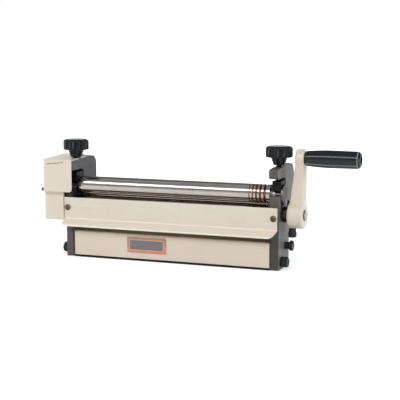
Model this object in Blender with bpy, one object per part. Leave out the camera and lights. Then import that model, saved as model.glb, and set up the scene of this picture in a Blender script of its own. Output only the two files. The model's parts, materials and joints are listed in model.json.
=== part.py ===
"""Bench slip roll: three steel rolls between two cast housings, geared together and
turned by a hand crank. X runs along the rolls, -Y is the working side, Z is up."""
import math

import bmesh
import bpy
from mathutils import Matrix, Vector

# General clearances and resolution
GAP = 0.0003                  # between neighbours that touch
OVERRUN = 0.002               # how far a cutter runs past the face it cuts
ROLL_SIDES = 28
SHAFT_SIDES = 18
ARC_STEPS = 4
SHARP_ANGLE = math.radians(35)

# Rolls and where they run
ROLL_RADIUS = 0.016
ROLL_END_ROOM = 0.0035        # from the roll's end to the housing
ROLL_CHAMFER = 0.0008
NIP = 0.001                   # space between the front rolls at rest
FRONT_AXIS_Y = 0.026
JOURNAL_RADIUS = 0.0065
THRUST_RADIUS = 0.0095
THRUST_LENGTH = 0.0015
DRIVE_RADIUS = 0.0085         # shaft of the driven bottom roll
GROOVE_RADII = (0.0008, 0.0011, 0.0014, 0.0017, 0.002)
GROOVE_MARGIN = 0.0091        # widest groove's middle to the roll's end
GROOVE_LAND = 0.0039          # plain land left between two grooves
GROOVE_STEPS = 3

# Housings: outline in (Y, Z), front face of the lower part at Y = 0
HOUSING_SPAN = 0.357          # between the two inner faces
HOUSING_THICK = 0.0153
HOUSING_HEIGHT = 0.1692       # top of the nose
CROWN_RISE = 0.0035           # how much higher the top is at the rear
HEAD_THICK = 0.0165           # material over the open mouth
MOUTH_OVER_AXIS = 0.0282      # top roll's axis to the mouth's ceiling
JAW_BELOW_AXIS = 0.0005
FOOT_DEPTH = 0.064
REAR_DEPTH = 0.092
NOSE_REACH = 0.008
WAIST_HEIGHT = 0.046
REAR_STEP_BELOW = 0.0065      # top roll's axis to the step in the rear edge
EDGE_RADIUS = 0.002
MOUTH_RADIUS = 0.009
NOSE_LOW_RADIUS = 0.007
NOSE_TOP_RADIUS = 0.005
CROWN_RADIUS = 0.017
FOOT_RADIUS = 0.003
WAIST_RADIUS = 0.012

INNER_X = HOUSING_SPAN / 2
OUTER_X = INNER_X + HOUSING_THICK
MIDDLE_X = INNER_X + HOUSING_THICK / 2
ROLL_HALF = INNER_X - ROLL_END_ROOM
MOUTH_TOP = HOUSING_HEIGHT - HEAD_THICK
TOP_AXIS_Z = MOUTH_TOP - MOUTH_OVER_AXIS
BOTTOM_AXIS_Z = TOP_AXIS_Z - ROLL_RADIUS * 2 - NIP
JAW_TOP = TOP_AXIS_Z - JAW_BELOW_AXIS
REAR_STEP = TOP_AXIS_Z - REAR_STEP_BELOW
TOP_SLOPE = CROWN_RISE / (REAR_DEPTH + NOSE_REACH)

# Top roll's bearing blocks, sliding in an upright slot
BLOCK_DEPTH = 0.028
BLOCK_ABOVE_AXIS = 0.0235
BLOCK_BELOW_AXIS = 0.0165
BLOCK_RADIUS = 0.008
BLOCK_EDGE = 0.0015
SLOT_FLOOR_DROP = 0.0018      # room under the block
FLANGE_RADIUS = 0.0165
FLANGE_THICK = 0.0033

# Rear roll: its blocks slide forward and up
REAR_BEHIND = 0.047           # rear roll's axis behind the front rolls'
REAR_BELOW = 0.0005           # and below the bottom roll's
REAR_SLOPE = math.radians(25)
REAR_TRAVEL = 0.012
REAR_BLOCK_LENGTH = 0.026
REAR_BLOCK_HEIGHT = 0.024
REAR_SLOT_END_ROOM = 0.001
REAR_BOSS_BACK = 0.017        # rear roll's axis to the face of the boss
REAR_BOSS_HALF = 0.019
CAP_THICK = 0.005
CAP_HALF = 0.018
CAP_SCREW_OFFSET = 0.0150
CAP_SCREW_RADIUS = 0.0015
CAP_SCREW_DEPTH = 0.010
CAP_HEAD_RADIUS = 0.0027
CAP_HEAD_HEIGHT = 0.0024
REAR_AXIS_Y = FRONT_AXIS_Y + REAR_BEHIND
REAR_AXIS_Z = BOTTOM_AXIS_Z - REAR_BELOW

# Gear covers on the left housing
SHEET = 0.0015
BEND_RADIUS = 0.003
COVER_DEPTH = 0.0417          # from the housing's outer face
COVER_FRONT = 0.010           # upper cover's face in front of the housing's
COVER_BELOW_AXIS = 0.010      # top roll's axis to the upper cover's lower edge
COVER_REAR = 0.076
COVER_ROOF_REAR = 0.050       # how far back the roof reaches over the housing
COVER_BEND = 0.005
COVER_CORNER = 0.006
COVER_STUD_HOLE = 0.008
GUARD_BELOW_AXIS = 0.0275     # bottom roll's axis to the lower cover's floor
GUARD_FRONT = 0.003           # lower cover's face in front of the housing's
GUARD_REAR = 0.070
TONGUE_HEIGHT = 0.0065        # lower cover's rim, tucked up into the upper one
BRACKET_THICK = 0.0036        # bar between the housing and the lower cover
BRACKET_WIDTH = 0.0085
COVER_SCREW_UP = 0.0033       # upper cover's lower edge to its screws
COVER_SCREW_INSET = 0.0038     # upper cover's front or rear face to its screws
COVER_SCREW_RADIUS = 0.0015
COVER_SCREW_HEAD = 0.0029
COVER_SCREW_HEAD_HEIGHT = 0.0020
COVER_SCREW_LENGTH = 0.0032
COVER_OUTER_X = OUTER_X + COVER_DEPTH
COVER_TOP = HOUSING_HEIGHT + GAP + SHEET
COVER_LOW = TOP_AXIS_Z - COVER_BELOW_AXIS
GUARD_LOW = BOTTOM_AXIS_Z - GUARD_BELOW_AXIS
GUARD_TOP = COVER_LOW - GAP
GUARD_NEAR_X = OUTER_X + BRACKET_THICK + GAP * 2
RIM_TOP = GUARD_TOP + TONGUE_HEIGHT

# Adjusting screws and hand knobs
STUD_RADIUS = 0.005
STUD_SEAT = 0.0072            # how deep the stud sits in the bearing block
KNOB_ROOM = 0.0011            # between the cover's roof and the knob's hub at rest
KNOB_RADIUS = 0.0225
KNOB_FLUTE = 0.0034
FLUTE_NARROWING = 2            # flutes are narrower than the lobes between them
KNOB_LOBES = 10
LOBE_STEPS = 5
KNOB_DOME = 0.0022
KNOB_RIM = 0.0165
KNOB_EDGE = 0.0016
KNOB_HUB_TOP_RADIUS = 0.0140
KNOB_HUB_LOW_RADIUS = 0.0095
KNOB_HUB_LENGTH = 0.0130
KNOB_SOCKET = 0.012
THUMB_RADIUS = 0.013
THUMB_LENGTH = 0.013
THUMB_NECK_RADIUS = 0.008
THUMB_NECK_LENGTH = 0.003
THUMB_FLUTE = 0.0011
THUMB_LOBES = 10
THUMB_ROOM = 0.0015           # left to the cap with the rear roll fully forward
REAR_STUD_RADIUS = 0.004
REAR_STUD_SEAT = 0.0058
KNOB_LOW = COVER_TOP + TOP_SLOPE * (FRONT_AXIS_Y + KNOB_HUB_LOW_RADIUS + NOSE_REACH) + KNOB_ROOM

# Bottom roll's bearings and the collar on its drive end
BUSH_RADIUS = 0.012
COLLAR_RADIUS = 0.013
COLLAR_LENGTH = 0.0110
COLLAR_EDGE = 0.0008

# Gears
GEAR_MODULE = 0.002
GEAR_TEETH = 16
GEAR_PRESSURE = math.radians(20)
GEAR_ADDENDUM = 0.0024
GEAR_DEDENDUM = 0.0029
GEAR_THINNING = 0.00012       # taken off each flank at the pitch circle
GEAR_FLANK_STEPS = 3
GEAR_WIDTH = 0.016
GEAR_FROM_HOUSING = 0.0048
WASHER_RADIUS = 0.010
WASHER_THICK = 0.0015
NUT_ACROSS_CORNERS = 0.0185
NUT_HEIGHT = 0.005
THREAD_END = 0.0015           # shaft past its nut

# Crank
CRANK_THROW = 0.0945
CRANK_HUB_RADIUS = 0.0225
CRANK_HUB_LENGTH = 0.0253
SHAFT_PROUD = 0.002           # driven shaft standing out of the hub
CRANK_EYE_RADIUS = 0.0152
CRANK_EYE_THICK = 0.0142
CRANK_EYE_FLAT = 0.011        # below the eye's centre, before the arm thickens
CRANK_ARM_HALF = 0.0125
CRANK_ARM_ROOT = 0.0222       # arm's thickness where it leaves the hub
CRANK_EDGE = 0.0016
SPINDLE_RADIUS = 0.0045
SPINDLE_HEAD_HEIGHT = 0.004
HANDLE_LENGTH = 0.0905
HANDLE_ROOT_RADIUS = 0.0126
HANDLE_MIDDLE_RADIUS = 0.0148
HANDLE_END_RADIUS = 0.0143
HANDLE_MIDDLE_SHARE = 0.42
HANDLE_CAP_LENGTH = 0.0065
HANDLE_CAP_RADIUS = 0.0085
HANDLE_RECESS_RADIUS = 0.0068
HANDLE_RECESS_DEPTH = 0.006
FERRULE_RADIUS = 0.0102
FERRULE_LENGTH = 0.0016
LOCK_INSET = 0.0050           # lock screw's axis from the hub's inner face
LOCK_NECK_RADIUS = 0.0060
LOCK_HEAD_RADIUS = 0.0070
LOCK_NECK_LENGTH = 0.0065
LOCK_HEAD_LENGTH = 0.0085
LOCK_THREAD_RADIUS = 0.003
CRANK_HUB_INNER_X = OUTER_X + COLLAR_LENGTH + GAP * 2
CRANK_OUTER_X = CRANK_HUB_INNER_X + CRANK_HUB_LENGTH
LOCK_X = CRANK_HUB_INNER_X + LOCK_INSET

# Front apron with its flared lip
APRON_SHIFT = -0.0027
APRON_PAST_HOUSING = 0.0005   # sheet past each housing, before the shift
APRON_BELOW_JAW = 0.019
APRON_FACE_HEIGHT = 0.0374
APRON_LIP_OUT = 0.0148
APRON_LIP_DOWN = 0.0091
APRON_HEM = 0.0025            # upright edge below the flare
APRON_CORNER = 0.013
APRON_LEFT_CORNER = 0.004
APRON_SCREW_PAST_MIDDLE = 0.0015
APRON_SCREW_DROP = 0.0177     # apron's top edge to its screws
SCREW_RADIUS = 0.0025
SCREW_HEAD_RADIUS = 0.0053
SCREW_HEAD_HEIGHT = 0.0026
SCREW_DEPTH = 0.012
APRON_HALF = OUTER_X + APRON_PAST_HOUSING
APRON_TOP = JAW_TOP - APRON_BELOW_JAW
APRON_CREASE = APRON_TOP - APRON_FACE_HEIGHT
APRON_SCREW_HALF = MIDDLE_X + APRON_SCREW_PAST_MIDDLE
APRON_SCREW_Z = APRON_TOP - APRON_SCREW_DROP

# Lower panel, base plate and badge plate
BASE_THICK = 0.0035
BASE_DEPTH = 0.060
BASE_HOLE_RADIUS = 0.0045
BASE_HOLE_FROM_END = 0.0285
BASE_HOLE_FRONT = 0.030
BASE_HOLE_REAR = 0.050
PANEL_BELOW_CREASE = 0.0213
PANEL_FLANGE = 0.046         # shelf that closes the box behind the panel
BADGE_X = -0.0415
BADGE_LENGTH = 0.072
BADGE_HEIGHT_SHARE = 0.6355   # of the panel's height over the base
BADGE_THICK = 0.0008
BADGE_CORNER = 0.002
BADGE_MIDDLE_SHARE = 0.5724
PANEL_TOP = APRON_CREASE - PANEL_BELOW_CREASE
BASE_HOLE_X = INNER_X - BASE_HOLE_FROM_END
PANEL_SIGHT = PANEL_TOP - BASE_THICK
BADGE_HEIGHT = PANEL_SIGHT * BADGE_HEIGHT_SHARE
BADGE_Z = BASE_THICK + PANEL_SIGHT * BADGE_MIDDLE_SHARE

# Tie rods and their end bolts
ROD_RADIUS = 0.0075
ROD_HOLE_DEPTH = 0.014
FRONT_ROD_Y = 0.0167
FRONT_ROD_Z = 0.0128
REAR_ROD_Y = 0.0420
REAR_ROD_SHARE = 0.3956       # of the bottom roll's height
BOLT_RADIUS = 0.004
BOLT_REACH = 0.012            # how far the bolt goes into its rod
FRONT_HEAD_RADIUS = 0.0088
FRONT_HEAD_HEIGHT = 0.0120
REAR_NECK_RADIUS = 0.0063
REAR_NECK_LENGTH = 0.0084
REAR_HEAD_RADIUS = 0.0088
REAR_HEAD_HEIGHT = 0.0054
HEX_SOCKET_RADIUS = 0.0040
HEX_SOCKET_DEPTH = 0.004
REAR_ROD_Z = BOTTOM_AXIS_Z * REAR_ROD_SHARE

# The whole machine is centred on its outer box
THUMB_START = REAR_BOSS_BACK + GAP + CAP_THICK + REAR_TRAVEL + THUMB_ROOM
THUMB_END = THUMB_START + THUMB_NECK_LENGTH + THUMB_LENGTH
BOX_LEFT = -COVER_OUTER_X - COVER_SCREW_HEAD_HEIGHT - GAP
BOX_RIGHT = CRANK_OUTER_X + GAP + FERRULE_LENGTH + GAP + HANDLE_LENGTH
BOX_FRONT = -GAP - SHEET - APRON_LIP_OUT
THUMB_FACE = THUMB_RADIUS - THUMB_FLUTE
BOX_REAR = REAR_AXIS_Y + THUMB_END * math.cos(REAR_SLOPE) + THUMB_FACE * math.sin(REAR_SLOPE)
CENTRE_X = (BOX_LEFT + BOX_RIGHT) / 2
CENTRE_Y = (BOX_FRONT + BOX_REAR) / 2


def clear_scene():
    """Remove whatever the scene holds."""
    for item in list(bpy.data.objects):
        bpy.data.objects.remove(item, do_unlink=True)


def material(name, colour, roughness, metallic):
    """One Principled material."""
    made = bpy.data.materials.new(name)
    made.use_nodes = True
    shader = made.node_tree.nodes["Principled BSDF"]
    shader.inputs["Base Color"].default_value = (*colour, 1.0)
    shader.inputs["Roughness"].default_value = roughness
    shader.inputs["Metallic"].default_value = metallic
    made.diffuse_color = (*colour, 1.0)
    return made


def place(bm, name, parent, location, paint):
    """Turn a bmesh into a named object under its parent."""
    bmesh.ops.recalc_face_normals(bm, faces=bm.faces)
    mesh = bpy.data.meshes.new(name)
    bm.to_mesh(mesh)
    bm.free()
    mesh.shade_smooth()
    mesh.set_sharp_from_angle(angle=SHARP_ANGLE)
    item = bpy.data.objects.new(name, mesh)
    bpy.context.scene.collection.objects.link(item)
    item.parent = parent
    item.location = location
    if paint:
        mesh.materials.append(paint)
    return item


def empty(name, parent, location):
    """A joint's frame or a group's frame."""
    item = bpy.data.objects.new(name, None)
    bpy.context.scene.collection.objects.link(item)
    item.parent = parent
    item.location = location
    return item


def rounded(corners):
    """Outline points from corners given as (u, v, radius)."""
    points = []
    count = len(corners)
    for index, (u, v, radius) in enumerate(corners):
        here = Vector((u, v))
        if not radius:
            points.append(here)
            continue
        before = Vector(corners[index - 1][:2])
        after = Vector(corners[(index + 1) % count][:2])
        to_before = (before - here).normalized()
        to_after = (after - here).normalized()
        half = to_before.angle(to_after) / 2
        reach = radius / math.tan(half)
        centre = here + (to_before + to_after).normalized() * radius / math.sin(half)
        start = here + to_before * reach - centre
        end = here + to_after * reach - centre
        turn = start.angle_signed(end)
        for step in range(ARC_STEPS + 1):
            angle = -turn * step / ARC_STEPS
            points.append(centre + Matrix.Rotation(angle, 2) @ start)
    return points


def ring(radius, sides, centre=(0.0, 0.0)):
    """Points of a circle."""
    points = []
    for step in range(sides):
        angle = math.tau * step / sides
        points.append(Vector((centre[0] + radius * math.cos(angle), centre[1] + radius * math.sin(angle))))
    return points


def oblong(left, low, right, high):
    """The four corners of a rectangle."""
    return [Vector((left, low)), Vector((left, high)), Vector((right, high)), Vector((right, low))]


def slab(outline, low, high, axis="X"):
    """Extrude an outline along an axis: (Y, Z) along X, (X, Z) along Y, (X, Y) along Z."""
    places = {"X": lambda u, v, w: (w, u, v), "Y": lambda u, v, w: (u, w, v), "Z": lambda u, v, w: (u, v, w)}
    put = places[axis]
    bm = bmesh.new()
    face = bm.faces.new([bm.verts.new(put(u, v, low)) for u, v in outline])
    grown = bmesh.ops.extrude_face_region(bm, geom=[face])
    moved = [item for item in grown["geom"] if isinstance(item, bmesh.types.BMVert)]
    bmesh.ops.translate(bm, verts=moved, vec=Vector(put(0.0, 0.0, high - low)))
    bmesh.ops.recalc_face_normals(bm, faces=bm.faces)
    return bm


def turned(profile, sides, hollow=False):
    """Turn (axial, radius) points round the local X axis; a hollow profile closes on itself."""
    bm = bmesh.new()
    verts = [bm.verts.new((along, radius, 0.0)) for along, radius in profile]
    edges = [bm.edges.new(pair) for pair in zip(verts, verts[1:])]
    if hollow:
        edges.append(bm.edges.new((verts[-1], verts[0])))
    bmesh.ops.spin(bm, geom=verts + edges, axis=(1.0, 0.0, 0.0), cent=(0.0, 0.0, 0.0),
                   angle=math.tau, steps=sides, use_merge=True)
    bmesh.ops.remove_doubles(bm, verts=bm.verts, dist=GAP / 100)
    open_edges = [edge for edge in bm.edges if edge.is_boundary]
    if open_edges:
        bmesh.ops.holes_fill(bm, edges=open_edges)
    bmesh.ops.recalc_face_normals(bm, faces=bm.faces)
    return bm


def tipped(bm, direction):
    """Swing a piece made along +X so that it runs along a direction."""
    turn = Vector((1.0, 0.0, 0.0)).rotation_difference(Vector(direction)).to_matrix()
    bmesh.ops.rotate(bm, verts=bm.verts, cent=(0.0, 0.0, 0.0), matrix=turn)
    return bm


def combine(item, tool, operation):
    """Cut or join with a hidden tool object."""
    tool.hide_render = True
    tool.display_type = "WIRE"
    step = item.modifiers.new(tool.name, "BOOLEAN")
    step.operation = operation
    step.object = tool
    step.solver = "EXACT"


def cut(item, bm, name, location=(0.0, 0.0, 0.0)):
    """Cut a shape out of an object."""
    combine(item, place(bm, name, item.parent, location, None), "DIFFERENCE")


def join(item, bm, name, location=(0.0, 0.0, 0.0)):
    """Add a shape to an object."""
    combine(item, place(bm, name, item.parent, location, None), "UNION")


def pin(radius, low, high, sides=SHAFT_SIDES):
    """A plain round bar along X."""
    return turned([(low, radius), (high, radius)], sides)


def rear_point(along, across):
    """(Y, Z) from places along and across the rear roll's slide, off its axis at rest."""
    y = REAR_AXIS_Y - along * math.cos(REAR_SLOPE) + across * math.sin(REAR_SLOPE)
    z = REAR_AXIS_Z + along * math.sin(REAR_SLOPE) + across * math.cos(REAR_SLOPE)
    return y, z


def rear_back():
    """Direction of the rear adjusting screws, away from the roll."""
    return 0.0, math.cos(REAR_SLOPE), -math.sin(REAR_SLOPE)


def side_name(side):
    """Which end of the machine a side sign stands for."""
    return "right" if side > 0 else "left"


def make_paints():
    """Every material of the machine."""
    return {
        "cream": material("cream_paint", (0.71, 0.64, 0.55), 0.42, 0.0),
        "panel": material("panel_paint", (0.68, 0.62, 0.52), 0.45, 0.0),
        "guard": material("guard_paint", (0.70, 0.63, 0.54), 0.45, 0.0),
        "crank": material("crank_paint", (0.66, 0.58, 0.48), 0.5, 0.0),
        "cast": material("grey_casting", (0.115, 0.112, 0.12), 0.55, 0.25),
        "flange": material("flange_steel", (0.16, 0.155, 0.16), 0.45, 0.5),
        "steel": material("ground_steel", (0.62, 0.59, 0.58), 0.2, 1.0),
        "gear": material("gear_steel", (0.30, 0.29, 0.28), 0.35, 1.0),
        "black": material("black_oxide", (0.012, 0.013, 0.015), 0.5, 0.4),
        "dark": material("dark_steel", (0.05, 0.05, 0.052), 0.4, 0.8),
        "plastic": material("black_plastic", (0.018, 0.02, 0.024), 0.38, 0.0),
        "bronze": material("bearing_bronze", (0.42, 0.26, 0.10), 0.35, 1.0),
        "badge": material("badge_red", (0.55, 0.06, 0.04), 0.45, 0.0),
        "base": material("base_paint", (0.03, 0.03, 0.03), 0.6, 0.0),
        "screw": material("screw_zinc", (0.22, 0.21, 0.19), 0.4, 0.9),
    }


def housing_outline():
    """Side view of a housing, with its open mouth, block slot and rear slot."""
    slot_front = FRONT_AXIS_Y - BLOCK_DEPTH / 2 - GAP
    slot_rear = FRONT_AXIS_Y + BLOCK_DEPTH / 2 + GAP
    slot_floor = TOP_AXIS_Z - BLOCK_BELOW_AXIS - SLOT_FLOOR_DROP
    slot_half = REAR_BLOCK_HEIGHT / 2 + GAP
    slot_end = REAR_BLOCK_LENGTH / 2 + REAR_TRAVEL + REAR_SLOT_END_ROOM
    corners = [
        (0.0, 0.0, FOOT_RADIUS),
        (0.0, JAW_TOP, EDGE_RADIUS),
        (slot_front, JAW_TOP, 0.0),
        (slot_front, slot_floor, 0.0),
        (slot_rear, slot_floor, 0.0),
        (slot_rear, MOUTH_TOP, MOUTH_RADIUS),
        (-NOSE_REACH, MOUTH_TOP, NOSE_LOW_RADIUS),
        (-NOSE_REACH, HOUSING_HEIGHT, NOSE_TOP_RADIUS),
        (REAR_DEPTH, HOUSING_HEIGHT + CROWN_RISE, CROWN_RADIUS),
        (REAR_DEPTH, REAR_STEP, EDGE_RADIUS),
        (*rear_point(-REAR_BOSS_BACK, REAR_BOSS_HALF), EDGE_RADIUS),
        (*rear_point(-REAR_BOSS_BACK, slot_half), 0.0),
        (*rear_point(slot_end, slot_half), EDGE_RADIUS),
        (*rear_point(slot_end, -slot_half), EDGE_RADIUS),
        (*rear_point(-REAR_BOSS_BACK, -slot_half), 0.0),
        (*rear_point(-REAR_BOSS_BACK, -REAR_BOSS_HALF), EDGE_RADIUS),
        (FOOT_DEPTH, WAIST_HEIGHT, WAIST_RADIUS),
        (FOOT_DEPTH, 0.0, FOOT_RADIUS),
    ]
    return rounded(corners)


def make_housing(root, paint, side):
    """One cast side housing with its bores and tapped holes."""
    near = side * INNER_X
    far = side * OUTER_X
    item = place(slab(housing_outline(), min(near, far), max(near, far)),
                 f"housing_{side_name(side)}", root, (0.0, 0.0, 0.0), paint)
    low = INNER_X - OVERRUN
    high = OUTER_X + OVERRUN
    bores = [
        (BUSH_RADIUS + GAP, FRONT_AXIS_Y, BOTTOM_AXIS_Z),
        (BOLT_RADIUS + GAP, FRONT_ROD_Y, FRONT_ROD_Z),
        (BOLT_RADIUS + GAP, REAR_ROD_Y, REAR_ROD_Z),
    ]
    for index, (radius, y, z) in enumerate(bores):
        tool = pin(radius, min(side * low, side * high), max(side * low, side * high))
        cut(item, tool, f"bore_{index}_{side_name(side)}", (0.0, y, z))
    stud_hole = pin(STUD_RADIUS + GAP, MOUTH_TOP - OVERRUN, HOUSING_HEIGHT + CROWN_RISE + OVERRUN)
    cut(item, tipped(stud_hole, (0.0, 0.0, 1.0)), f"stud_hole_{side_name(side)}",
        (side * MIDDLE_X, FRONT_AXIS_Y, 0.0))
    screw_hole = pin(SCREW_RADIUS + GAP, -OVERRUN, SCREW_DEPTH - SHEET)
    cut(item, tipped(screw_hole, (0.0, 1.0, 0.0)), f"apron_hole_{side_name(side)}",
        (APRON_SHIFT + side * APRON_SCREW_HALF, 0.0, APRON_SCREW_Z))
    for index, across in enumerate((-CAP_SCREW_OFFSET, CAP_SCREW_OFFSET)):
        hole = pin(CAP_SCREW_RADIUS + GAP, -CAP_SCREW_DEPTH, OVERRUN)
        y, z = rear_point(-REAR_BOSS_BACK, across)
        cut(item, tipped(hole, rear_back()), f"cap_hole_{index}_{side_name(side)}", (side * MIDDLE_X, y, z))
    return item


def block_outline():
    """Bearing block in (Y, Z) off the roll's axis: a hook, open to the front."""
    half = BLOCK_DEPTH / 2
    low = -BLOCK_BELOW_AXIS
    high = BLOCK_ABOVE_AXIS
    bore = JOURNAL_RADIUS + GAP
    arc = []
    for step in range(ROLL_SIDES // 2 + 1):
        angle = -math.pi / 2 + math.tau * step / ROLL_SIDES
        arc.append((bore * math.cos(angle), bore * math.sin(angle), 0.0))
    corners = [(-half, low, BLOCK_EDGE), (-half, -bore, BLOCK_EDGE / 2)] + arc
    corners += [(-half, bore, BLOCK_EDGE / 2), (-half, high, BLOCK_EDGE), (half, high, BLOCK_RADIUS),
                (half, low, BLOCK_EDGE)]
    return rounded(corners)


def make_top_block(root, paint, side):
    """Top roll's hook-shaped bearing block."""
    near = side * INNER_X
    far = side * OUTER_X
    item = place(slab(block_outline(), min(near, far), max(near, far)),
                 f"bearing_block_top_{side_name(side)}", root, (0.0, FRONT_AXIS_Y, TOP_AXIS_Z), paint)
    seat = pin(STUD_RADIUS + GAP, BLOCK_ABOVE_AXIS - STUD_SEAT - GAP, BLOCK_ABOVE_AXIS + OVERRUN)
    cut(item, tipped(seat, (0.0, 0.0, 1.0)), f"stud_seat_{side_name(side)}",
        (side * MIDDLE_X, FRONT_AXIS_Y, TOP_AXIS_Z))
    return item


def make_flange(root, paint, side):
    """Round flange on a top bearing block's outer face, wider than the housing's slot."""
    low = side * (OUTER_X + GAP)
    high = low + side * FLANGE_THICK
    bore = JOURNAL_RADIUS + GAP
    profile = [(low, bore), (high, bore), (high, FLANGE_RADIUS), (low, FLANGE_RADIUS)]
    place(turned(profile, ROLL_SIDES, hollow=True), f"bearing_flange_{side_name(side)}", root,
          (0.0, FRONT_AXIS_Y, TOP_AXIS_Z), paint)


def make_rear_block(root, paint, side):
    """Rear roll's square bearing block."""
    near = side * (INNER_X + GAP / 2)
    far = side * (OUTER_X - GAP / 2)
    half = REAR_BLOCK_LENGTH / 2
    tall = REAR_BLOCK_HEIGHT / 2
    corners = oblong(-half, -tall, half, tall)
    outline = rounded([(*rear_point(along, across), BLOCK_EDGE) for along, across in corners])
    outline = [Vector((y - REAR_AXIS_Y, z - REAR_AXIS_Z)) for y, z in outline]
    item = place(slab(outline, min(near, far), max(near, far)), f"bearing_block_rear_{side_name(side)}",
                 root, (0.0, REAR_AXIS_Y, REAR_AXIS_Z), paint)
    reach = sorted((side * (INNER_X - OVERRUN), side * (OUTER_X + OVERRUN)))
    cut(item, pin(JOURNAL_RADIUS + GAP, *reach), f"rear_bore_{side_name(side)}",
        (0.0, REAR_AXIS_Y, REAR_AXIS_Z))
    seat = pin(REAR_STUD_RADIUS + GAP, half - REAR_STUD_SEAT - GAP, half + OVERRUN)
    cut(item, tipped(seat, rear_back()), f"rear_seat_{side_name(side)}",
        (side * MIDDLE_X, REAR_AXIS_Y, REAR_AXIS_Z))
    return item


def make_slot_cap(root, paint, side):
    """Plate that closes the rear slot and carries the rear adjusting screw."""
    near = side * INNER_X
    far = side * OUTER_X
    low = REAR_BOSS_BACK + GAP
    high = low + CAP_THICK
    corners = ((-low, -CAP_HALF), (-low, CAP_HALF), (-high, CAP_HALF), (-high, -CAP_HALF))
    outline = [Vector(rear_point(along, across)) for along, across in corners]
    item = place(slab(outline, min(near, far), max(near, far)), f"slot_cap_{side_name(side)}",
                 root, (0.0, 0.0, 0.0), paint)
    hole = pin(REAR_STUD_RADIUS + GAP, low - OVERRUN, high + OVERRUN)
    cut(item, tipped(hole, rear_back()), f"cap_bore_{side_name(side)}",
        (side * MIDDLE_X, REAR_AXIS_Y, REAR_AXIS_Z))
    for index, across in enumerate((-CAP_SCREW_OFFSET, CAP_SCREW_OFFSET)):
        small = pin(CAP_SCREW_RADIUS + GAP, low - OVERRUN, high + OVERRUN)
        y, z = rear_point(0.0, across)
        cut(item, tipped(small, rear_back()), f"cap_screw_hole_{index}_{side_name(side)}",
            (side * MIDDLE_X, y, z))
    return item


def make_cap_screws(root, paint):
    """The four screws of the two slot caps."""
    face = REAR_BOSS_BACK + GAP * 2 + CAP_THICK
    for side in (-1, 1):
        for level, across in (("low", -CAP_SCREW_OFFSET), ("high", CAP_SCREW_OFFSET)):
            profile = [(REAR_BOSS_BACK - CAP_SCREW_DEPTH + GAP, CAP_SCREW_RADIUS), (face, CAP_SCREW_RADIUS),
                       (face, CAP_HEAD_RADIUS), (face + CAP_HEAD_HEIGHT, CAP_HEAD_RADIUS)]
            y, z = rear_point(0.0, across)
            screw = tipped(turned(profile, SHAFT_SIDES // 2), rear_back())
            place(screw, f"slot_cap_screw_{side_name(side)}_{level}", root, (side * MIDDLE_X, y, z), paint)


def groove_points():
    """Profile of the wire grooves, each a little wider than the last towards the roll's end."""
    middles = [ROLL_HALF - GROOVE_MARGIN]
    for narrow, wide in zip(GROOVE_RADII[-2::-1], GROOVE_RADII[::-1]):
        middles.append(middles[-1] - narrow - wide - GROOVE_LAND)
    points = []
    for middle, radius in zip(reversed(middles), GROOVE_RADII):
        for step in range(GROOVE_STEPS + 1):
            angle = math.pi * step / GROOVE_STEPS
            points.append((middle - radius * math.cos(angle), ROLL_RADIUS - radius * math.sin(angle)))
    return points


def roll_profile(left_end, right_end, left_radius, right_radius):
    """Roll body with thrust faces, wire grooves and two journals."""
    body = ROLL_HALF
    rim = ROLL_RADIUS - ROLL_CHAMFER
    thrust = body + THRUST_LENGTH
    return [
        (left_end, left_radius),
        (-thrust, left_radius),
        (-thrust, THRUST_RADIUS),
        (-body, THRUST_RADIUS),
        (-body, rim),
        (-body + ROLL_CHAMFER, ROLL_RADIUS),
        *groove_points(),
        (body - ROLL_CHAMFER, ROLL_RADIUS),
        (body, rim),
        (body, THRUST_RADIUS),
        (thrust, THRUST_RADIUS),
        (thrust, right_radius),
        (right_end, right_radius),
    ]


def gear_end():
    """Axial place of the gears' outer faces."""
    return OUTER_X + GEAR_FROM_HOUSING + GEAR_WIDTH


def shaft_end():
    """Axial place where the geared shafts end, past washer and nut."""
    return gear_end() + WASHER_THICK + NUT_HEIGHT + GAP * 3 + THREAD_END


def make_rolls(root, paint):
    """Top, bottom and rear rolls."""
    top_end = OUTER_X + FLANGE_THICK
    bottom_end = CRANK_OUTER_X + SHAFT_PROUD
    rear_end = OUTER_X - GAP
    shapes = {
        "roll_top": ((-shaft_end(), top_end, JOURNAL_RADIUS, JOURNAL_RADIUS), FRONT_AXIS_Y, TOP_AXIS_Z),
        "roll_bottom": ((-shaft_end(), bottom_end, JOURNAL_RADIUS, DRIVE_RADIUS), FRONT_AXIS_Y, BOTTOM_AXIS_Z),
        "roll_rear": ((-rear_end, rear_end, JOURNAL_RADIUS, JOURNAL_RADIUS), REAR_AXIS_Y, REAR_AXIS_Z),
    }
    for name, (ends, y, z) in shapes.items():
        place(turned(roll_profile(*ends), ROLL_SIDES), name, root, (0.0, y, z), paint)


def make_bush(root, paint, side):
    """Plain bearing of the bottom roll."""
    shaft = DRIVE_RADIUS if side > 0 else JOURNAL_RADIUS
    profile = [(side * INNER_X, shaft + GAP), (side * OUTER_X, shaft + GAP),
               (side * OUTER_X, BUSH_RADIUS), (side * INNER_X, BUSH_RADIUS)]
    place(turned(profile, ROLL_SIDES, hollow=True), f"bush_bottom_{side_name(side)}", root,
          (0.0, FRONT_AXIS_Y, BOTTOM_AXIS_Z), paint)


def make_collar(root, paint):
    """Thrust collar between the right housing and the crank."""
    low = OUTER_X + GAP
    high = low + COLLAR_LENGTH
    profile = [(low, DRIVE_RADIUS + GAP), (high, DRIVE_RADIUS + GAP), (high, COLLAR_RADIUS - COLLAR_EDGE),
               (high - COLLAR_EDGE, COLLAR_RADIUS), (low + COLLAR_EDGE, COLLAR_RADIUS),
               (low, COLLAR_RADIUS - COLLAR_EDGE)]
    place(turned(profile, SHAFT_SIDES, hollow=True), "shaft_collar", root,
          (0.0, FRONT_AXIS_Y, BOTTOM_AXIS_Z), paint)


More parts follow.
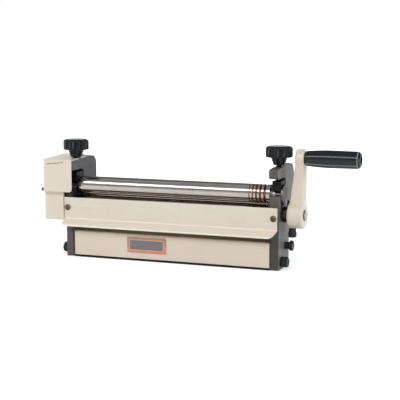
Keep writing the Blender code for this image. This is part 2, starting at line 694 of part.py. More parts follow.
def involute(angle, base):
    """Point of the involute of a base circle, as (radius, polar angle)."""
    return base * math.sqrt(1 + angle * angle), angle - math.atan(angle)


def gear_outline(phase):
    """Spur gear outline in (Y, Z), a tooth's middle standing at the phase angle."""
    pitch = GEAR_MODULE * GEAR_TEETH / 2
    base = pitch * math.cos(GEAR_PRESSURE)
    tip = pitch + GEAR_ADDENDUM
    root = pitch - GEAR_DEDENDUM
    at_pitch = math.tan(GEAR_PRESSURE) - GEAR_PRESSURE
    half = math.pi / GEAR_TEETH / 2 - GEAR_THINNING / pitch + at_pitch
    tip_roll = math.sqrt((tip / base) ** 2 - 1)
    flank = [involute(tip_roll * step / GEAR_FLANK_STEPS, base) for step in range(GEAR_FLANK_STEPS + 1)]
    points = []
    for tooth in range(GEAR_TEETH):
        middle = phase + math.tau * tooth / GEAR_TEETH
        side = [(root, half)] + [(radius, half - turn) for radius, turn in flank]
        polar = [(radius, middle - angle) for radius, angle in side]
        polar += [(radius, middle + angle) for radius, angle in reversed(side)]
        points += [Vector((radius * math.cos(angle), radius * math.sin(angle))) for radius, angle in polar]
    return points


def make_gear(root, paint, name, z, phase):
    """One of the two meshing gears."""
    low = OUTER_X + GEAR_FROM_HOUSING
    item = place(slab(gear_outline(phase), -gear_end(), -low), name, root, (0.0, FRONT_AXIS_Y, z), paint)
    cut(item, pin(JOURNAL_RADIUS + GAP, -gear_end() - OVERRUN, -low + OVERRUN), f"{name}_bore",
        (0.0, FRONT_AXIS_Y, z))


def make_gear_nut(root, paint, name, z):
    """Washer and hexagon nut that hold a gear."""
    washer_low = gear_end() + GAP
    washer_high = washer_low + WASHER_THICK
    nut_low = washer_high + GAP
    bore = JOURNAL_RADIUS + GAP
    washer = turned([(-washer_low, bore), (-washer_high, bore), (-washer_high, WASHER_RADIUS),
                     (-washer_low, WASHER_RADIUS)], SHAFT_SIDES, hollow=True)
    nut = slab(ring(NUT_ACROSS_CORNERS / 2, 6), -nut_low - NUT_HEIGHT, -nut_low)
    place(washer, name.replace("nut", "washer"), root, (0.0, FRONT_AXIS_Y, z), paint)
    item = place(nut, name, root, (0.0, FRONT_AXIS_Y, z), paint)
    cut(item, pin(bore, -nut_low - NUT_HEIGHT - OVERRUN, -nut_low + OVERRUN), f"{name}_bore",
        (0.0, FRONT_AXIS_Y, z))


def lobed(levels, lobes, flute):
    """Fluted round solid along +X from (axial, radius, flute share) levels."""
    bm = bmesh.new()
    sides = lobes * LOBE_STEPS
    rings = []
    for along, radius, share in levels:
        loop = []
        for step in range(sides):
            angle = math.tau * step / sides
            dip = flute * share * ((1 - math.cos(angle * lobes)) / 2) ** FLUTE_NARROWING
            size = radius - dip
            loop.append(bm.verts.new((along, size * math.cos(angle), size * math.sin(angle))))
        rings.append(loop)
    for first, second in zip(rings, rings[1:]):
        for step in range(sides):
            after = (step + 1) % sides
            bm.faces.new((first[step], first[after], second[after], second[step]))
    bm.faces.new(rings[0])
    bm.faces.new(rings[-1])
    bmesh.ops.recalc_face_normals(bm, faces=bm.faces)
    return bm


def make_top_knob(root, plastic, steel, side):
    """Fluted hand knob and its adjusting stud."""
    rim_low = KNOB_LOW + KNOB_HUB_LENGTH
    rim_high = rim_low + KNOB_RIM
    levels = [
        (KNOB_LOW, KNOB_HUB_LOW_RADIUS, 0.0),
        (rim_low, KNOB_HUB_TOP_RADIUS, 0.0),
        (rim_low, KNOB_RADIUS - KNOB_EDGE, 1.0),
        (rim_low + KNOB_EDGE, KNOB_RADIUS, 1.0),
        (rim_high - KNOB_EDGE, KNOB_RADIUS, 1.0),
        (rim_high, KNOB_RADIUS - KNOB_EDGE, 1.0),
        (rim_high + KNOB_DOME, KNOB_HUB_TOP_RADIUS, 0.0),
    ]
    name = side_name(side)
    spot = (side * MIDDLE_X, FRONT_AXIS_Y, 0.0)
    knob = place(tipped(lobed(levels, KNOB_LOBES, KNOB_FLUTE), (0.0, 0.0, 1.0)),
                 f"knob_top_{name}", root, spot, plastic)
    socket = pin(STUD_RADIUS + GAP, KNOB_LOW - OVERRUN, KNOB_LOW + KNOB_SOCKET + GAP)
    cut(knob, tipped(socket, (0.0, 0.0, 1.0)), f"knob_socket_{name}", spot)
    stud = pin(STUD_RADIUS, TOP_AXIS_Z + BLOCK_ABOVE_AXIS - STUD_SEAT, KNOB_LOW + KNOB_SOCKET)
    place(tipped(stud, (0.0, 0.0, 1.0)), f"stud_top_{name}", root, spot, steel)


def make_thumb_screw(root, plastic, steel, side):
    """Rear adjusting screw with its small fluted thumb knob."""
    rim_low = THUMB_START + THUMB_NECK_LENGTH
    levels = [
        (THUMB_START, THUMB_NECK_RADIUS, 0.0),
        (rim_low, THUMB_NECK_RADIUS, 0.0),
        (rim_low, THUMB_FACE, 0.0),
        (rim_low + THUMB_FLUTE, THUMB_RADIUS, 1.0),
        (THUMB_END - THUMB_FLUTE, THUMB_RADIUS, 1.0),
        (THUMB_END, THUMB_FACE, 0.0),
    ]
    name = side_name(side)
    spot = (side * MIDDLE_X, REAR_AXIS_Y, REAR_AXIS_Z)
    knob = place(tipped(lobed(levels, THUMB_LOBES, THUMB_FLUTE), rear_back()),
                 f"knob_rear_{name}", root, spot, plastic)
    socket = pin(REAR_STUD_RADIUS + GAP, THUMB_START - OVERRUN, rim_low + THUMB_LENGTH / 2 + GAP)
    cut(knob, tipped(socket, rear_back()), f"thumb_socket_{name}", spot)
    stud = pin(REAR_STUD_RADIUS, REAR_BLOCK_LENGTH / 2 - REAR_STUD_SEAT, rim_low + THUMB_LENGTH / 2)
    place(tipped(stud, rear_back()), f"stud_rear_{name}", root, spot, steel)


def arm_outline():
    """Crank arm seen from the front in (X, Z): flat outside, tapering inside."""
    eye_inner = CRANK_OUTER_X - CRANK_EYE_THICK
    root_inner = CRANK_OUTER_X - CRANK_ARM_ROOT
    return rounded([
        (CRANK_OUTER_X, BOTTOM_AXIS_Z, 0.0),
        (CRANK_OUTER_X, BOTTOM_AXIS_Z + CRANK_THROW, 0.0),
        (eye_inner, BOTTOM_AXIS_Z + CRANK_THROW, 0.0),
        (eye_inner, BOTTOM_AXIS_Z + CRANK_THROW - CRANK_EYE_FLAT, 0.0),
        (root_inner, BOTTOM_AXIS_Z + CRANK_HUB_RADIUS, 0.0),
        (CRANK_HUB_INNER_X + CRANK_EDGE, BOTTOM_AXIS_Z, 0.0),
    ])


def edged(low, high, radius, edge):
    """Round disc profile with both rims chamfered."""
    return [(low, radius - edge), (low + edge, radius), (high - edge, radius), (high, radius - edge)]


def make_crank_arm(root, paint):
    """Cast arm: hub, tapering arm and eye in one piece."""
    hub = turned(edged(CRANK_HUB_INNER_X, CRANK_OUTER_X, CRANK_HUB_RADIUS, CRANK_EDGE), ROLL_SIDES)
    item = place(hub, "crank_arm", root, (0.0, FRONT_AXIS_Y, BOTTOM_AXIS_Z), paint)
    arm = slab(arm_outline(), FRONT_AXIS_Y - CRANK_ARM_HALF, FRONT_AXIS_Y + CRANK_ARM_HALF, "Y")
    long_edges = [edge for edge in arm.edges if edge.calc_length() > CRANK_THROW / 2]
    bmesh.ops.bevel(arm, geom=long_edges, offset=CRANK_EDGE, segments=2, affect="EDGES", profile=0.5)
    join(item, arm, "arm_bar")
    eye_inner = CRANK_OUTER_X - CRANK_EYE_THICK
    eye = turned(edged(eye_inner, CRANK_OUTER_X, CRANK_EYE_RADIUS, CRANK_EDGE), ROLL_SIDES)
    eye_z = BOTTOM_AXIS_Z + CRANK_THROW
    join(item, eye, "arm_eye", (0.0, FRONT_AXIS_Y, eye_z))
    cut(item, pin(DRIVE_RADIUS + GAP, CRANK_HUB_INNER_X - OVERRUN, CRANK_OUTER_X + OVERRUN), "hub_bore",
        (0.0, FRONT_AXIS_Y, BOTTOM_AXIS_Z))
    cut(item, pin(SPINDLE_RADIUS + GAP, eye_inner - OVERRUN, CRANK_OUTER_X + OVERRUN), "eye_bore",
        (0.0, FRONT_AXIS_Y, eye_z))
    lock = pin(LOCK_THREAD_RADIUS + GAP, BOTTOM_AXIS_Z - CRANK_HUB_RADIUS - OVERRUN, BOTTOM_AXIS_Z)
    cut(item, tipped(lock, (0.0, 0.0, 1.0)), "lock_hole", (LOCK_X, FRONT_AXIS_Y, 0.0))


def make_lock_screw(root, paint):
    """Screw that clamps the crank to the shaft from below."""
    top = BOTTOM_AXIS_Z - DRIVE_RADIUS - GAP
    rim = BOTTOM_AXIS_Z - CRANK_HUB_RADIUS - GAP
    neck = rim - LOCK_NECK_LENGTH
    low = neck - LOCK_HEAD_LENGTH
    profile = [
        (top, LOCK_THREAD_RADIUS),
        (rim, LOCK_THREAD_RADIUS),
        (rim, LOCK_NECK_RADIUS),
        (neck, LOCK_NECK_RADIUS),
        (neck, LOCK_HEAD_RADIUS - CRANK_EDGE / 2),
        (neck - CRANK_EDGE / 2, LOCK_HEAD_RADIUS),
        (low + CRANK_EDGE, LOCK_HEAD_RADIUS),
        (low, LOCK_HEAD_RADIUS - CRANK_EDGE),
    ]
    place(tipped(turned(profile, SHAFT_SIDES), (0.0, 0.0, 1.0)), "crank_lock_screw", root,
          (LOCK_X, FRONT_AXIS_Y, 0.0), paint)


def make_handle(root, plastic, steel, brass):
    """Barrel handle on its spindle, with the ferrule against the arm."""
    spot = (0.0, FRONT_AXIS_Y, BOTTOM_AXIS_Z + CRANK_THROW)
    eye_inner = CRANK_OUTER_X - CRANK_EYE_THICK
    ferrule_low = CRANK_OUTER_X + GAP
    ferrule_high = ferrule_low + FERRULE_LENGTH
    low = ferrule_high + GAP
    high = low + HANDLE_LENGTH
    floor = high - HANDLE_RECESS_DEPTH
    cap = high - HANDLE_CAP_LENGTH
    middle = low + HANDLE_LENGTH * HANDLE_MIDDLE_SHARE
    bore = SPINDLE_RADIUS + GAP
    profile = [
        (low, bore),
        (low, HANDLE_ROOT_RADIUS - CRANK_EDGE / 2),
        (low + CRANK_EDGE / 2, HANDLE_ROOT_RADIUS),
        ((low + middle) / 2, (HANDLE_ROOT_RADIUS + HANDLE_MIDDLE_RADIUS) / 2 + CRANK_EDGE / 4),
        (middle, HANDLE_MIDDLE_RADIUS),
        (cap, HANDLE_END_RADIUS),
    ]
    for step in range(1, ARC_STEPS + 1):
        angle = math.pi / 2 * step / ARC_STEPS
        round_radius = HANDLE_CAP_RADIUS + (HANDLE_END_RADIUS - HANDLE_CAP_RADIUS) * math.cos(angle)
        profile.append((cap + HANDLE_CAP_LENGTH * math.sin(angle), round_radius))
    profile += [(high, HANDLE_RECESS_RADIUS), (floor, HANDLE_RECESS_RADIUS), (floor, bore)]
    place(turned(profile, ROLL_SIDES, hollow=True), "handle_grip", root, spot, plastic)
    ring_profile = [(ferrule_low, bore), (ferrule_high, bore), (ferrule_high, FERRULE_RADIUS),
                    (ferrule_low, FERRULE_RADIUS)]
    place(turned(ring_profile, SHAFT_SIDES, hollow=True), "handle_ferrule", root, spot, brass)
    head_low = floor + GAP
    spindle = [(eye_inner, SPINDLE_RADIUS), (head_low, SPINDLE_RADIUS),
               (head_low, HANDLE_RECESS_RADIUS - GAP * 2),
               (head_low + SPINDLE_HEAD_HEIGHT, HANDLE_RECESS_RADIUS - GAP * 2)]
    place(turned(spindle, SHAFT_SIDES), "handle_spindle", root, spot, steel)


def folded(path, radius):
    """Closed outline of a bent sheet; the path runs on its outer face, upwards at the front."""
    outer = [(u, v, radius if 0 < index < len(path) - 1 else 0.0) for index, (u, v) in enumerate(path)]
    inner = []
    for index, (u, v) in enumerate(path):
        here = Vector((u, v))
        normals = []
        if index:
            run = (here - Vector(path[index - 1])).normalized()
            normals.append(Vector((run.y, -run.x)))
        if index < len(path) - 1:
            run = (Vector(path[index + 1]) - here).normalized()
            normals.append(Vector((run.y, -run.x)))
        shift = sum(normals, Vector((0.0, 0.0)))
        shift = shift / shift.dot(normals[0]) * SHEET
        spot = here + shift
        bend = max(radius - SHEET, GAP) if 0 < index < len(path) - 1 else 0.0
        inner.append((spot.x, spot.y, bend))
    return rounded(outer + inner[::-1])


def make_apron(root, paint):
    """Bent front apron with a flared lip and round lower corners."""
    face = -GAP - SHEET
    lip_y = face - APRON_LIP_OUT
    lip_z = APRON_CREASE - APRON_LIP_DOWN
    floor = lip_z - APRON_HEM
    outline = folded([(lip_y, floor), (lip_y, lip_z), (face, APRON_CREASE), (face, APRON_TOP)], BEND_RADIUS)
    low = APRON_SHIFT - APRON_HALF
    high = APRON_SHIFT + APRON_HALF
    item = place(slab(outline, low, high), "apron", root, (0.0, 0.0, 0.0), paint)
    for side in (-1, 1):
        radius = APRON_CORNER if side > 0 else APRON_LEFT_CORNER
        edge = APRON_SHIFT + side * APRON_HALF
        inside = edge - side * radius
        points = [Vector((edge + side * OVERRUN, floor - OVERRUN))]
        points.append(Vector((inside, floor - OVERRUN)))
        for step in range(ARC_STEPS + 1):
            angle = math.pi / 2 * step / ARC_STEPS
            x = inside + side * radius * math.sin(angle)
            z = floor + radius * (1 - math.cos(angle))
            points.append(Vector((x, z)))
        points.append(Vector((edge + side * OVERRUN, floor + radius)))
        cutter = slab(points, lip_y - SHEET - OVERRUN, FRONT_AXIS_Y / 2, "Y")
        cut(item, cutter, f"apron_corner_{side_name(side)}")
        hole = pin(SCREW_RADIUS + GAP, face - OVERRUN, OVERRUN)
        cut(item, tipped(hole, (0.0, 1.0, 0.0)), f"apron_screw_hole_{side_name(side)}",
            (APRON_SHIFT + side * APRON_SCREW_HALF, 0.0, APRON_SCREW_Z))


def make_apron_screws(root, paint):
    """The apron's two screws."""
    face = -GAP - SHEET - GAP
    for side in (-1, 1):
        profile = [(face - SCREW_HEAD_HEIGHT, SCREW_HEAD_RADIUS - SCREW_HEAD_HEIGHT / 2),
                   (face - SCREW_HEAD_HEIGHT / 2, SCREW_HEAD_RADIUS), (face, SCREW_HEAD_RADIUS),
                   (face, SCREW_RADIUS), (SCREW_DEPTH - SHEET * 2, SCREW_RADIUS)]
        spot = (APRON_SHIFT + side * APRON_SCREW_HALF, 0.0, APRON_SCREW_Z)
        screw = tipped(turned(profile, SHAFT_SIDES), (0.0, 1.0, 0.0))
        place(screw, f"apron_screw_{side_name(side)}", root, spot, paint)


def make_lower_panel(root, paint):
    """Bent lower front panel between the housings."""
    half = INNER_X - GAP
    low = BASE_THICK + GAP
    outline = folded([(0.0, low), (0.0, PANEL_TOP), (PANEL_FLANGE, PANEL_TOP)], BEND_RADIUS)
    place(slab(outline, -half, half), "lower_panel", root, (0.0, 0.0, 0.0), paint)


def make_base(root, paint):
    """Base plate between the housings' feet with four bench bolt holes."""
    half = INNER_X - GAP
    item = place(slab(oblong(-half, 0.0, half, BASE_DEPTH), 0.0, BASE_THICK, "Z"), "base_plate",
                 root, (0.0, 0.0, 0.0), paint)
    for side in (-1, 1):
        for index, y in enumerate((BASE_HOLE_FRONT, BASE_HOLE_REAR)):
            hole = pin(BASE_HOLE_RADIUS, -OVERRUN, BASE_THICK + OVERRUN)
            cut(item, tipped(hole, (0.0, 0.0, 1.0)), f"base_hole_{index}_{side_name(side)}",
                (side * BASE_HOLE_X, y, 0.0))


def make_badge(root, paint):
    """Plain badge plate on the lower panel."""
    half = BADGE_LENGTH / 2
    tall = BADGE_HEIGHT / 2
    corners = oblong(BADGE_X - half, BADGE_Z - tall, BADGE_X + half, BADGE_Z + tall)
    outline = rounded([(*corner, BADGE_CORNER) for corner in corners])
    place(slab(outline, -GAP - BADGE_THICK, -GAP, "Y"), "badge_plate", root, (0.0, 0.0, 0.0), paint)


def make_tie_rod(root, paint, name, y, z):
    """Round rod that spaces the housings, drilled at both ends."""
    half = INNER_X - GAP
    item = place(pin(ROD_RADIUS, -half, half), name, root, (0.0, y, z), paint)
    for side in (-1, 1):
        ends = sorted((side * (half - ROD_HOLE_DEPTH), side * (half + OVERRUN)))
        cut(item, pin(BOLT_RADIUS + GAP, *ends), f"{name}_hole_{side_name(side)}", (0.0, y, z))


def make_front_bolts(root, paint):
    """Socket head bolts of the front tie rod."""
    tip = INNER_X - BOLT_REACH
    seat = OUTER_X + GAP
    top = seat + FRONT_HEAD_HEIGHT
    floor = top - HEX_SOCKET_DEPTH
    profile = [(tip, BOLT_RADIUS), (seat, BOLT_RADIUS), (seat, FRONT_HEAD_RADIUS),
               (top - CRANK_EDGE / 2, FRONT_HEAD_RADIUS), (top, FRONT_HEAD_RADIUS - CRANK_EDGE / 2),
               (top, HEX_SOCKET_RADIUS), (floor, HEX_SOCKET_RADIUS)]
    for side in (-1, 1):
        bolt = turned([(side * along, radius) for along, radius in profile], SHAFT_SIDES)
        place(bolt, f"tie_bolt_front_{side_name(side)}", root, (0.0, FRONT_ROD_Y, FRONT_ROD_Z), paint)


def make_rear_bolts(root, paint):
    """Shouldered bolts of the rear tie rod, standing out on a neck."""
    tip = INNER_X - BOLT_REACH
    seat = OUTER_X + GAP
    neck = seat + REAR_NECK_LENGTH
    top = neck + REAR_HEAD_HEIGHT
    profile = [(tip, BOLT_RADIUS), (seat, BOLT_RADIUS), (seat, REAR_NECK_RADIUS), (neck, REAR_NECK_RADIUS),
               (neck, REAR_HEAD_RADIUS), (top - CRANK_EDGE, REAR_HEAD_RADIUS),
               (top, REAR_HEAD_RADIUS - CRANK_EDGE)]
    for side in (-1, 1):
        bolt = turned([(side * along, radius) for along, radius in profile], SHAFT_SIDES)
        place(bolt, f"tie_bolt_rear_{side_name(side)}", root, (0.0, REAR_ROD_Y, REAR_ROD_Z), paint)


def sloped(bm):
    """Tilt the top of an upright shape so that it follows the housings' rising top."""
    for vert in bm.verts:
        if vert.co.z > TOP_AXIS_Z:
            vert.co.z += TOP_SLOPE * (vert.co.y + NOSE_REACH)
    return bm


def make_upper_cover(root, paint):
    """Sheet cover over the gears, with a roof over the left housing."""
    front = -COVER_FRONT
    outside = -COVER_OUTER_X
    inside = -INNER_X
    gear_side = -OUTER_X - GAP
    shell = rounded([
        (outside, front, COVER_BEND),
        (inside, front, 0.0),
        (inside, COVER_ROOF_REAR, 0.0),
        (gear_side, COVER_ROOF_REAR, 0.0),
        (gear_side, COVER_REAR, 0.0),
        (outside, COVER_REAR, COVER_BEND),
    ])
    item = place(sloped(slab(shell, COVER_LOW, COVER_TOP, "Z")), "cover_upper", root, (0.0, 0.0, 0.0), paint)
    roof = COVER_TOP - SHEET
    room = [
        Vector((outside + SHEET, front + SHEET)),
        Vector((inside + OVERRUN, front + SHEET)),
        Vector((inside + OVERRUN, COVER_ROOF_REAR + OVERRUN)),
        Vector((gear_side + OVERRUN, COVER_ROOF_REAR + OVERRUN)),
        Vector((gear_side + OVERRUN, COVER_REAR - SHEET)),
        Vector((outside + SHEET, COVER_REAR - SHEET)),
    ]
    cut(item, sloped(slab(room, COVER_LOW - OVERRUN, roof, "Z")), "cover_room")
    hole = pin(COVER_STUD_HOLE, roof - OVERRUN, COVER_TOP + CROWN_RISE + OVERRUN)
    cut(item, tipped(hole, (0.0, 0.0, 1.0)), "cover_stud_hole", (-MIDDLE_X, FRONT_AXIS_Y, 0.0))
    corner = [Vector((inside + OVERRUN, COVER_LOW - OVERRUN))]
    corner.append(Vector((inside + OVERRUN, COVER_LOW + COVER_CORNER)))
    for step in range(ARC_STEPS + 1):
        angle = math.pi / 2 * step / ARC_STEPS
        x = inside - COVER_CORNER * (1 - math.cos(angle))
        z = COVER_LOW + COVER_CORNER * (1 - math.sin(angle))
        corner.append(Vector((x, z)))
    corner.append(Vector((inside - COVER_CORNER, COVER_LOW - OVERRUN)))
    cut(item, slab(corner, front - OVERRUN, front + SHEET + OVERRUN, "Y"), "cover_corner")
    for index, y in enumerate(cover_screw_places()):
        small = pin(COVER_SCREW_RADIUS + GAP, outside - OVERRUN, outside + SHEET + OVERRUN)
        cut(item, small, f"cover_screw_hole_{index}", (0.0, y, COVER_LOW + COVER_SCREW_UP))


def cover_screw_places():
    """Y places of the two screws that hold the upper cover to the lower one."""
    return -COVER_FRONT + COVER_SCREW_INSET, COVER_REAR - COVER_SCREW_INSET


def box_plan(side_inset, front, rear, near, bend):
    """Plan of a cover's part in (X, Y), between a front and a rear, out to its wall."""
    outside = -COVER_OUTER_X + side_inset
    return rounded([(outside, front, bend), (-near, front, 0.0), (-near, rear, 0.0), (outside, rear, bend)])


def make_lower_cover(root, paint):
    """Lower gear cover, open above, with a rim tucked up inside the upper one."""
    rim = SHEET + GAP
    inner = GUARD_NEAR_X + SHEET
    past = GUARD_NEAR_X - OVERRUN
    front = -GUARD_FRONT
    body = slab(box_plan(0.0, front, GUARD_REAR, GUARD_NEAR_X, BEND_RADIUS), GUARD_LOW, GUARD_TOP, "Z")
    item = place(body, "cover_lower", root, (0.0, 0.0, 0.0), paint)
    collar = box_plan(rim, -COVER_FRONT + rim, COVER_REAR - rim, GUARD_NEAR_X, BEND_RADIUS)
    join(item, slab(collar, GUARD_TOP - SHEET, RIM_TOP, "Z"), "guard_rim")
    room = box_plan(SHEET, front + SHEET, GUARD_REAR - SHEET, inner, 0.0)
    cut(item, slab(room, GUARD_LOW + SHEET, GUARD_TOP - SHEET, "Z"), "guard_room")
    window = box_plan(rim + SHEET, front + BRACKET_WIDTH, GUARD_REAR - SHEET, past, 0.0)
    cut(item, slab(window, GUARD_LOW + SHEET * 2, RIM_TOP + OVERRUN, "Z"), "guard_window")
    lip = rim + SHEET
    throat = box_plan(lip, -COVER_FRONT + lip, COVER_REAR - lip, past, 0.0)
    cut(item, slab(throat, GUARD_TOP, RIM_TOP + OVERRUN, "Z"), "guard_throat")
    for index, y in enumerate(cover_screw_places()):
        small = pin(COVER_SCREW_RADIUS + GAP, -COVER_OUTER_X, -COVER_OUTER_X + lip + OVERRUN)
        cut(item, small, f"guard_screw_hole_{index}", (0.0, y, COVER_LOW + COVER_SCREW_UP))


def make_cover_bracket(root, paint):
    """Bar that spaces the lower cover's front edge off the left housing."""
    high = -OUTER_X - GAP
    outline = oblong(high - BRACKET_THICK, 0.0, high, BRACKET_WIDTH)
    place(slab(outline, GUARD_LOW, RIM_TOP, "Z"), "cover_bracket", root, (0.0, 0.0, 0.0), paint)


def make_cover_screws(root, paint):
    """Two small screws through both covers."""
    face = -COVER_OUTER_X - GAP
    for end, y in zip(("front", "rear"), cover_screw_places()):
        profile = [(face - COVER_SCREW_HEAD_HEIGHT, COVER_SCREW_HEAD), (face, COVER_SCREW_HEAD),
                   (face, COVER_SCREW_RADIUS), (face + COVER_SCREW_LENGTH + GAP * 2, COVER_SCREW_RADIUS)]
        spot = (0.0, y, COVER_LOW + COVER_SCREW_UP)
        place(turned(profile, SHAFT_SIDES // 2), f"cover_screw_{end}", root, spot, paint)


def main():
    """Build the whole machine about the centre of its outer box."""
    clear_scene()
    paints = make_paints()
    root = empty("slip_roll", None, (-CENTRE_X, -CENTRE_Y, 0.0))
    for side in (-1, 1):
        make_housing(root, paints["cast"], side)
        make_top_block(root, paints["black"], side)
        make_flange(root, paints["flange"], side)
        make_rear_block(root, paints["black"], side)
        make_slot_cap(root, paints["dark"], side)
        make_bush(root, paints["bronze"], side)
        make_top_knob(root, paints["plastic"], paints["dark"], side)
        make_thumb_screw(root, paints["plastic"], paints["dark"], side)
    make_cap_screws(root, paints["screw"])
    make_rolls(root, paints["steel"])
    make_collar(root, paints["black"])
    half_tooth = math.pi / GEAR_TEETH
    make_gear(root, paints["gear"], "gear_bottom", BOTTOM_AXIS_Z, math.pi / 2)
    make_gear(root, paints["gear"], "gear_top", TOP_AXIS_Z, math.pi / 2 + half_tooth)
    make_gear_nut(root, paints["screw"], "gear_nut_bottom", BOTTOM_AXIS_Z)
    make_gear_nut(root, paints["screw"], "gear_nut_top", TOP_AXIS_Z)
    make_crank_arm(root, paints["crank"])
    make_lock_screw(root, paints["dark"])
    make_handle(root, paints["plastic"], paints["dark"], paints["bronze"])
    make_apron(root, paints["cream"])
    make_apron_screws(root, paints["screw"])
    make_lower_panel(root, paints["panel"])
    make_base(root, paints["base"])
    make_badge(root, paints["badge"])
    make_tie_rod(root, paints["dark"], "tie_rod_front", FRONT_ROD_Y, FRONT_ROD_Z)
    make_tie_rod(root, paints["dark"], "tie_rod_rear", REAR_ROD_Y, REAR_ROD_Z)
    make_front_bolts(root, paints["black"])
    make_rear_bolts(root, paints["black"])
    make_upper_cover(root, paints["cream"])
    make_lower_cover(root, paints["guard"])
    make_cover_bracket(root, paints["dark"])
    make_cover_screws(root, paints["black"])


main()
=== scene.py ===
"""The looks of a bench slip roll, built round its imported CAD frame.

Each CAD node is replaced by a piece of the same shape, welded smooth or turned anew, with its
corners broken and a node-based finish. Knob flutes, threads and screw heads are made here in full.
Everything is in metres, in the frame of the CAD.
"""

import json
import math

import bmesh
import bpy
from mathutils import Matrix, Vector

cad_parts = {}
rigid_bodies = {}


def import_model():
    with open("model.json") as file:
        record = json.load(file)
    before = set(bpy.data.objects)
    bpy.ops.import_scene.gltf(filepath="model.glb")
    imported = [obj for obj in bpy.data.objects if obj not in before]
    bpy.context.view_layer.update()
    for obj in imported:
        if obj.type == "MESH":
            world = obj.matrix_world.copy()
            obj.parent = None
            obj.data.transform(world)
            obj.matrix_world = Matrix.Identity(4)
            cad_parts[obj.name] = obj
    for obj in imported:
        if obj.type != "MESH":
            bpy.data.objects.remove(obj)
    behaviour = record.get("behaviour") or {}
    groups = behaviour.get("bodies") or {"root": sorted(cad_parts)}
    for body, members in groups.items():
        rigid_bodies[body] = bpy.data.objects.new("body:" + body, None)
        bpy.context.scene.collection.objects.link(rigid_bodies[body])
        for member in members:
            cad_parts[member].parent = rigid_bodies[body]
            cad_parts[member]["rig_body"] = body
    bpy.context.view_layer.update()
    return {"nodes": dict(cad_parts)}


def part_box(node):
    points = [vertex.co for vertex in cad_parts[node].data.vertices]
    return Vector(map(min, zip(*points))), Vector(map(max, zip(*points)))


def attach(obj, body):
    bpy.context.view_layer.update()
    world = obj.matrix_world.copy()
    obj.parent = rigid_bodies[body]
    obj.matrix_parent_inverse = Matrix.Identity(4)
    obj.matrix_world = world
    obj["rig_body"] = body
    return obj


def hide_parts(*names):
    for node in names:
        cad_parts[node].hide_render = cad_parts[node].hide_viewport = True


# How a CAD mesh is made smooth
WELD = 2e-6
FLAT_ANGLE = math.radians(0.4)
SMOOTH_ANGLE = math.radians(32)
THREAD_SMOOTH_ANGLE = math.radians(60)

# Corners that are broken, by kind of part
EDGE_SHEET = 0.0004
EDGE_CAST = 0.0009
EDGE_TURNED = 0.0004
EDGE_FINE = 0.0002
EDGE_SEGMENTS = 2

# Outlines whose arcs are made finer, by how far each facet's corner is cut
ARC_BEND_LOW = math.radians(6)
ARC_SEGMENTS = 3
ARC_CUTS = {"housing_left": 0.0011, "housing_right": 0.0011, "apron": 0.0016, "crank_arm": 0.0011}

# Hand knobs. A socket is a radius and a depth. A level is a height, a radius and a share of the flutes
FLUTE_NARROWING = 2
KNOB_LOBES = 10
KNOB_SIDES = 320
ROUND_STEPS = 5
TOP_FLUTE = 0.0034
TOP_SOCKET = (0.0053, 0.0123)
TOP_LEVELS = [(0.0, 0.0095, 0.0), (0.0130, 0.0140, 0.0), (0.0130, 0.0209, 1.0), (0.0146, 0.0225, 1.0),
              (0.0279, 0.0225, 1.0), (0.0295, 0.0209, 1.0), (0.0317, 0.0140, 0.0)]
REAR_FLUTE = 0.0011
REAR_SOCKET = (0.0043, 0.0098)
REAR_LEVELS = [(0.0, 0.0080, 0.0), (0.0030, 0.0080, 0.0), (0.0030, 0.0119, 0.0), (0.0041, 0.0129, 1.0),
               (0.0148, 0.0129, 1.0), (0.0159, 0.0119, 0.0)]

# Round pieces turned anew
TURNED_SIDES = 96
SMALL_SIDES = 48
GROOVE_FACETS = 3  # of a wire groove in the CAD
GROOVE_STEPS = 14
SAME_MERIDIAN = math.radians(1)

# Threads and screws
TOP_PITCH = 0.0015
REAR_PITCH = 0.00125
THREAD_SHARE = 0.6
THREAD_SIDES = 32
RINGS_A_PITCH = 8
CROSS_WIDTH = 0.0015
CROSS_REACH = 0.0030
CROSS_DEPTH = 0.0017
PAN_HEIGHT = 0.0028
PAN_SHANK = 0.0025
PAN_STRAIGHT_SHARE = 0.35
PAN_DOME_ANGLES = [math.radians(degrees) for degrees in (20, 40, 55, 70, 80)]
SOCKET_RADIUS = 0.0038
SOCKET_DEPTH = 0.0055
SOCKET_SIDES = 6
CAP_HEAD = 0.012
CAP_SHANK = 0.004
HEAD_KNURLS = 48
KNURL_SIDES = 6
KNURL_DEPTH = 0.00028
HEAD_CHAMFER = KNURL_DEPTH * 3

# Ways that pieces lie
RIGHT = (1.0, 0.0, 0.0)
LEFT = (-1.0, 0.0, 0.0)
AHEAD = (0.0, -1.0, 0.0)
UP = (0.0, 0.0, 1.0)
DOWN = (0.0, 0.0, -1.0)
REAR_LEAN = math.radians(25)
REAR = (0.0, math.cos(REAR_LEAN), -math.sin(REAR_LEAN))

# Places of the colour sockets on a Mix node
MIX_FIRST = 6
MIX_SECOND = 7
MIX_RESULT = 2

# Settings of the finishes. FROM is where a mask starts and where it is full, and UNTIL where it
# begins to fade and where it is gone
NOISE_LOW = 0.32
NOISE_HIGH = 0.68
PLAIN_GLOSS = 0.5
DULL_GLOSS = 0.2
PAINT_COAT = 0.5
COAT_ROUGHNESS = 0.12
CAST_SOFT = 0.0045
CORNER_SAMPLES = 4
SOFT_SAMPLES = 8
CORNER_UNTIL = (0.93, 0.995)
HANDLED_AND_LIT_CORNER = 0.001
RUBBED_FROM = (0.45, 0.62)
STAINED_FROM = (0.4, 0.7)
SPECKLED_FROM = (0.52, 0.72)

# How far a roughness varies down and up
PAINT_VARIES = (0.06, 0.07)
METAL_VARIES = (0.05, 0.05)
PLASTIC_VARIES = (0.05, 0.08)

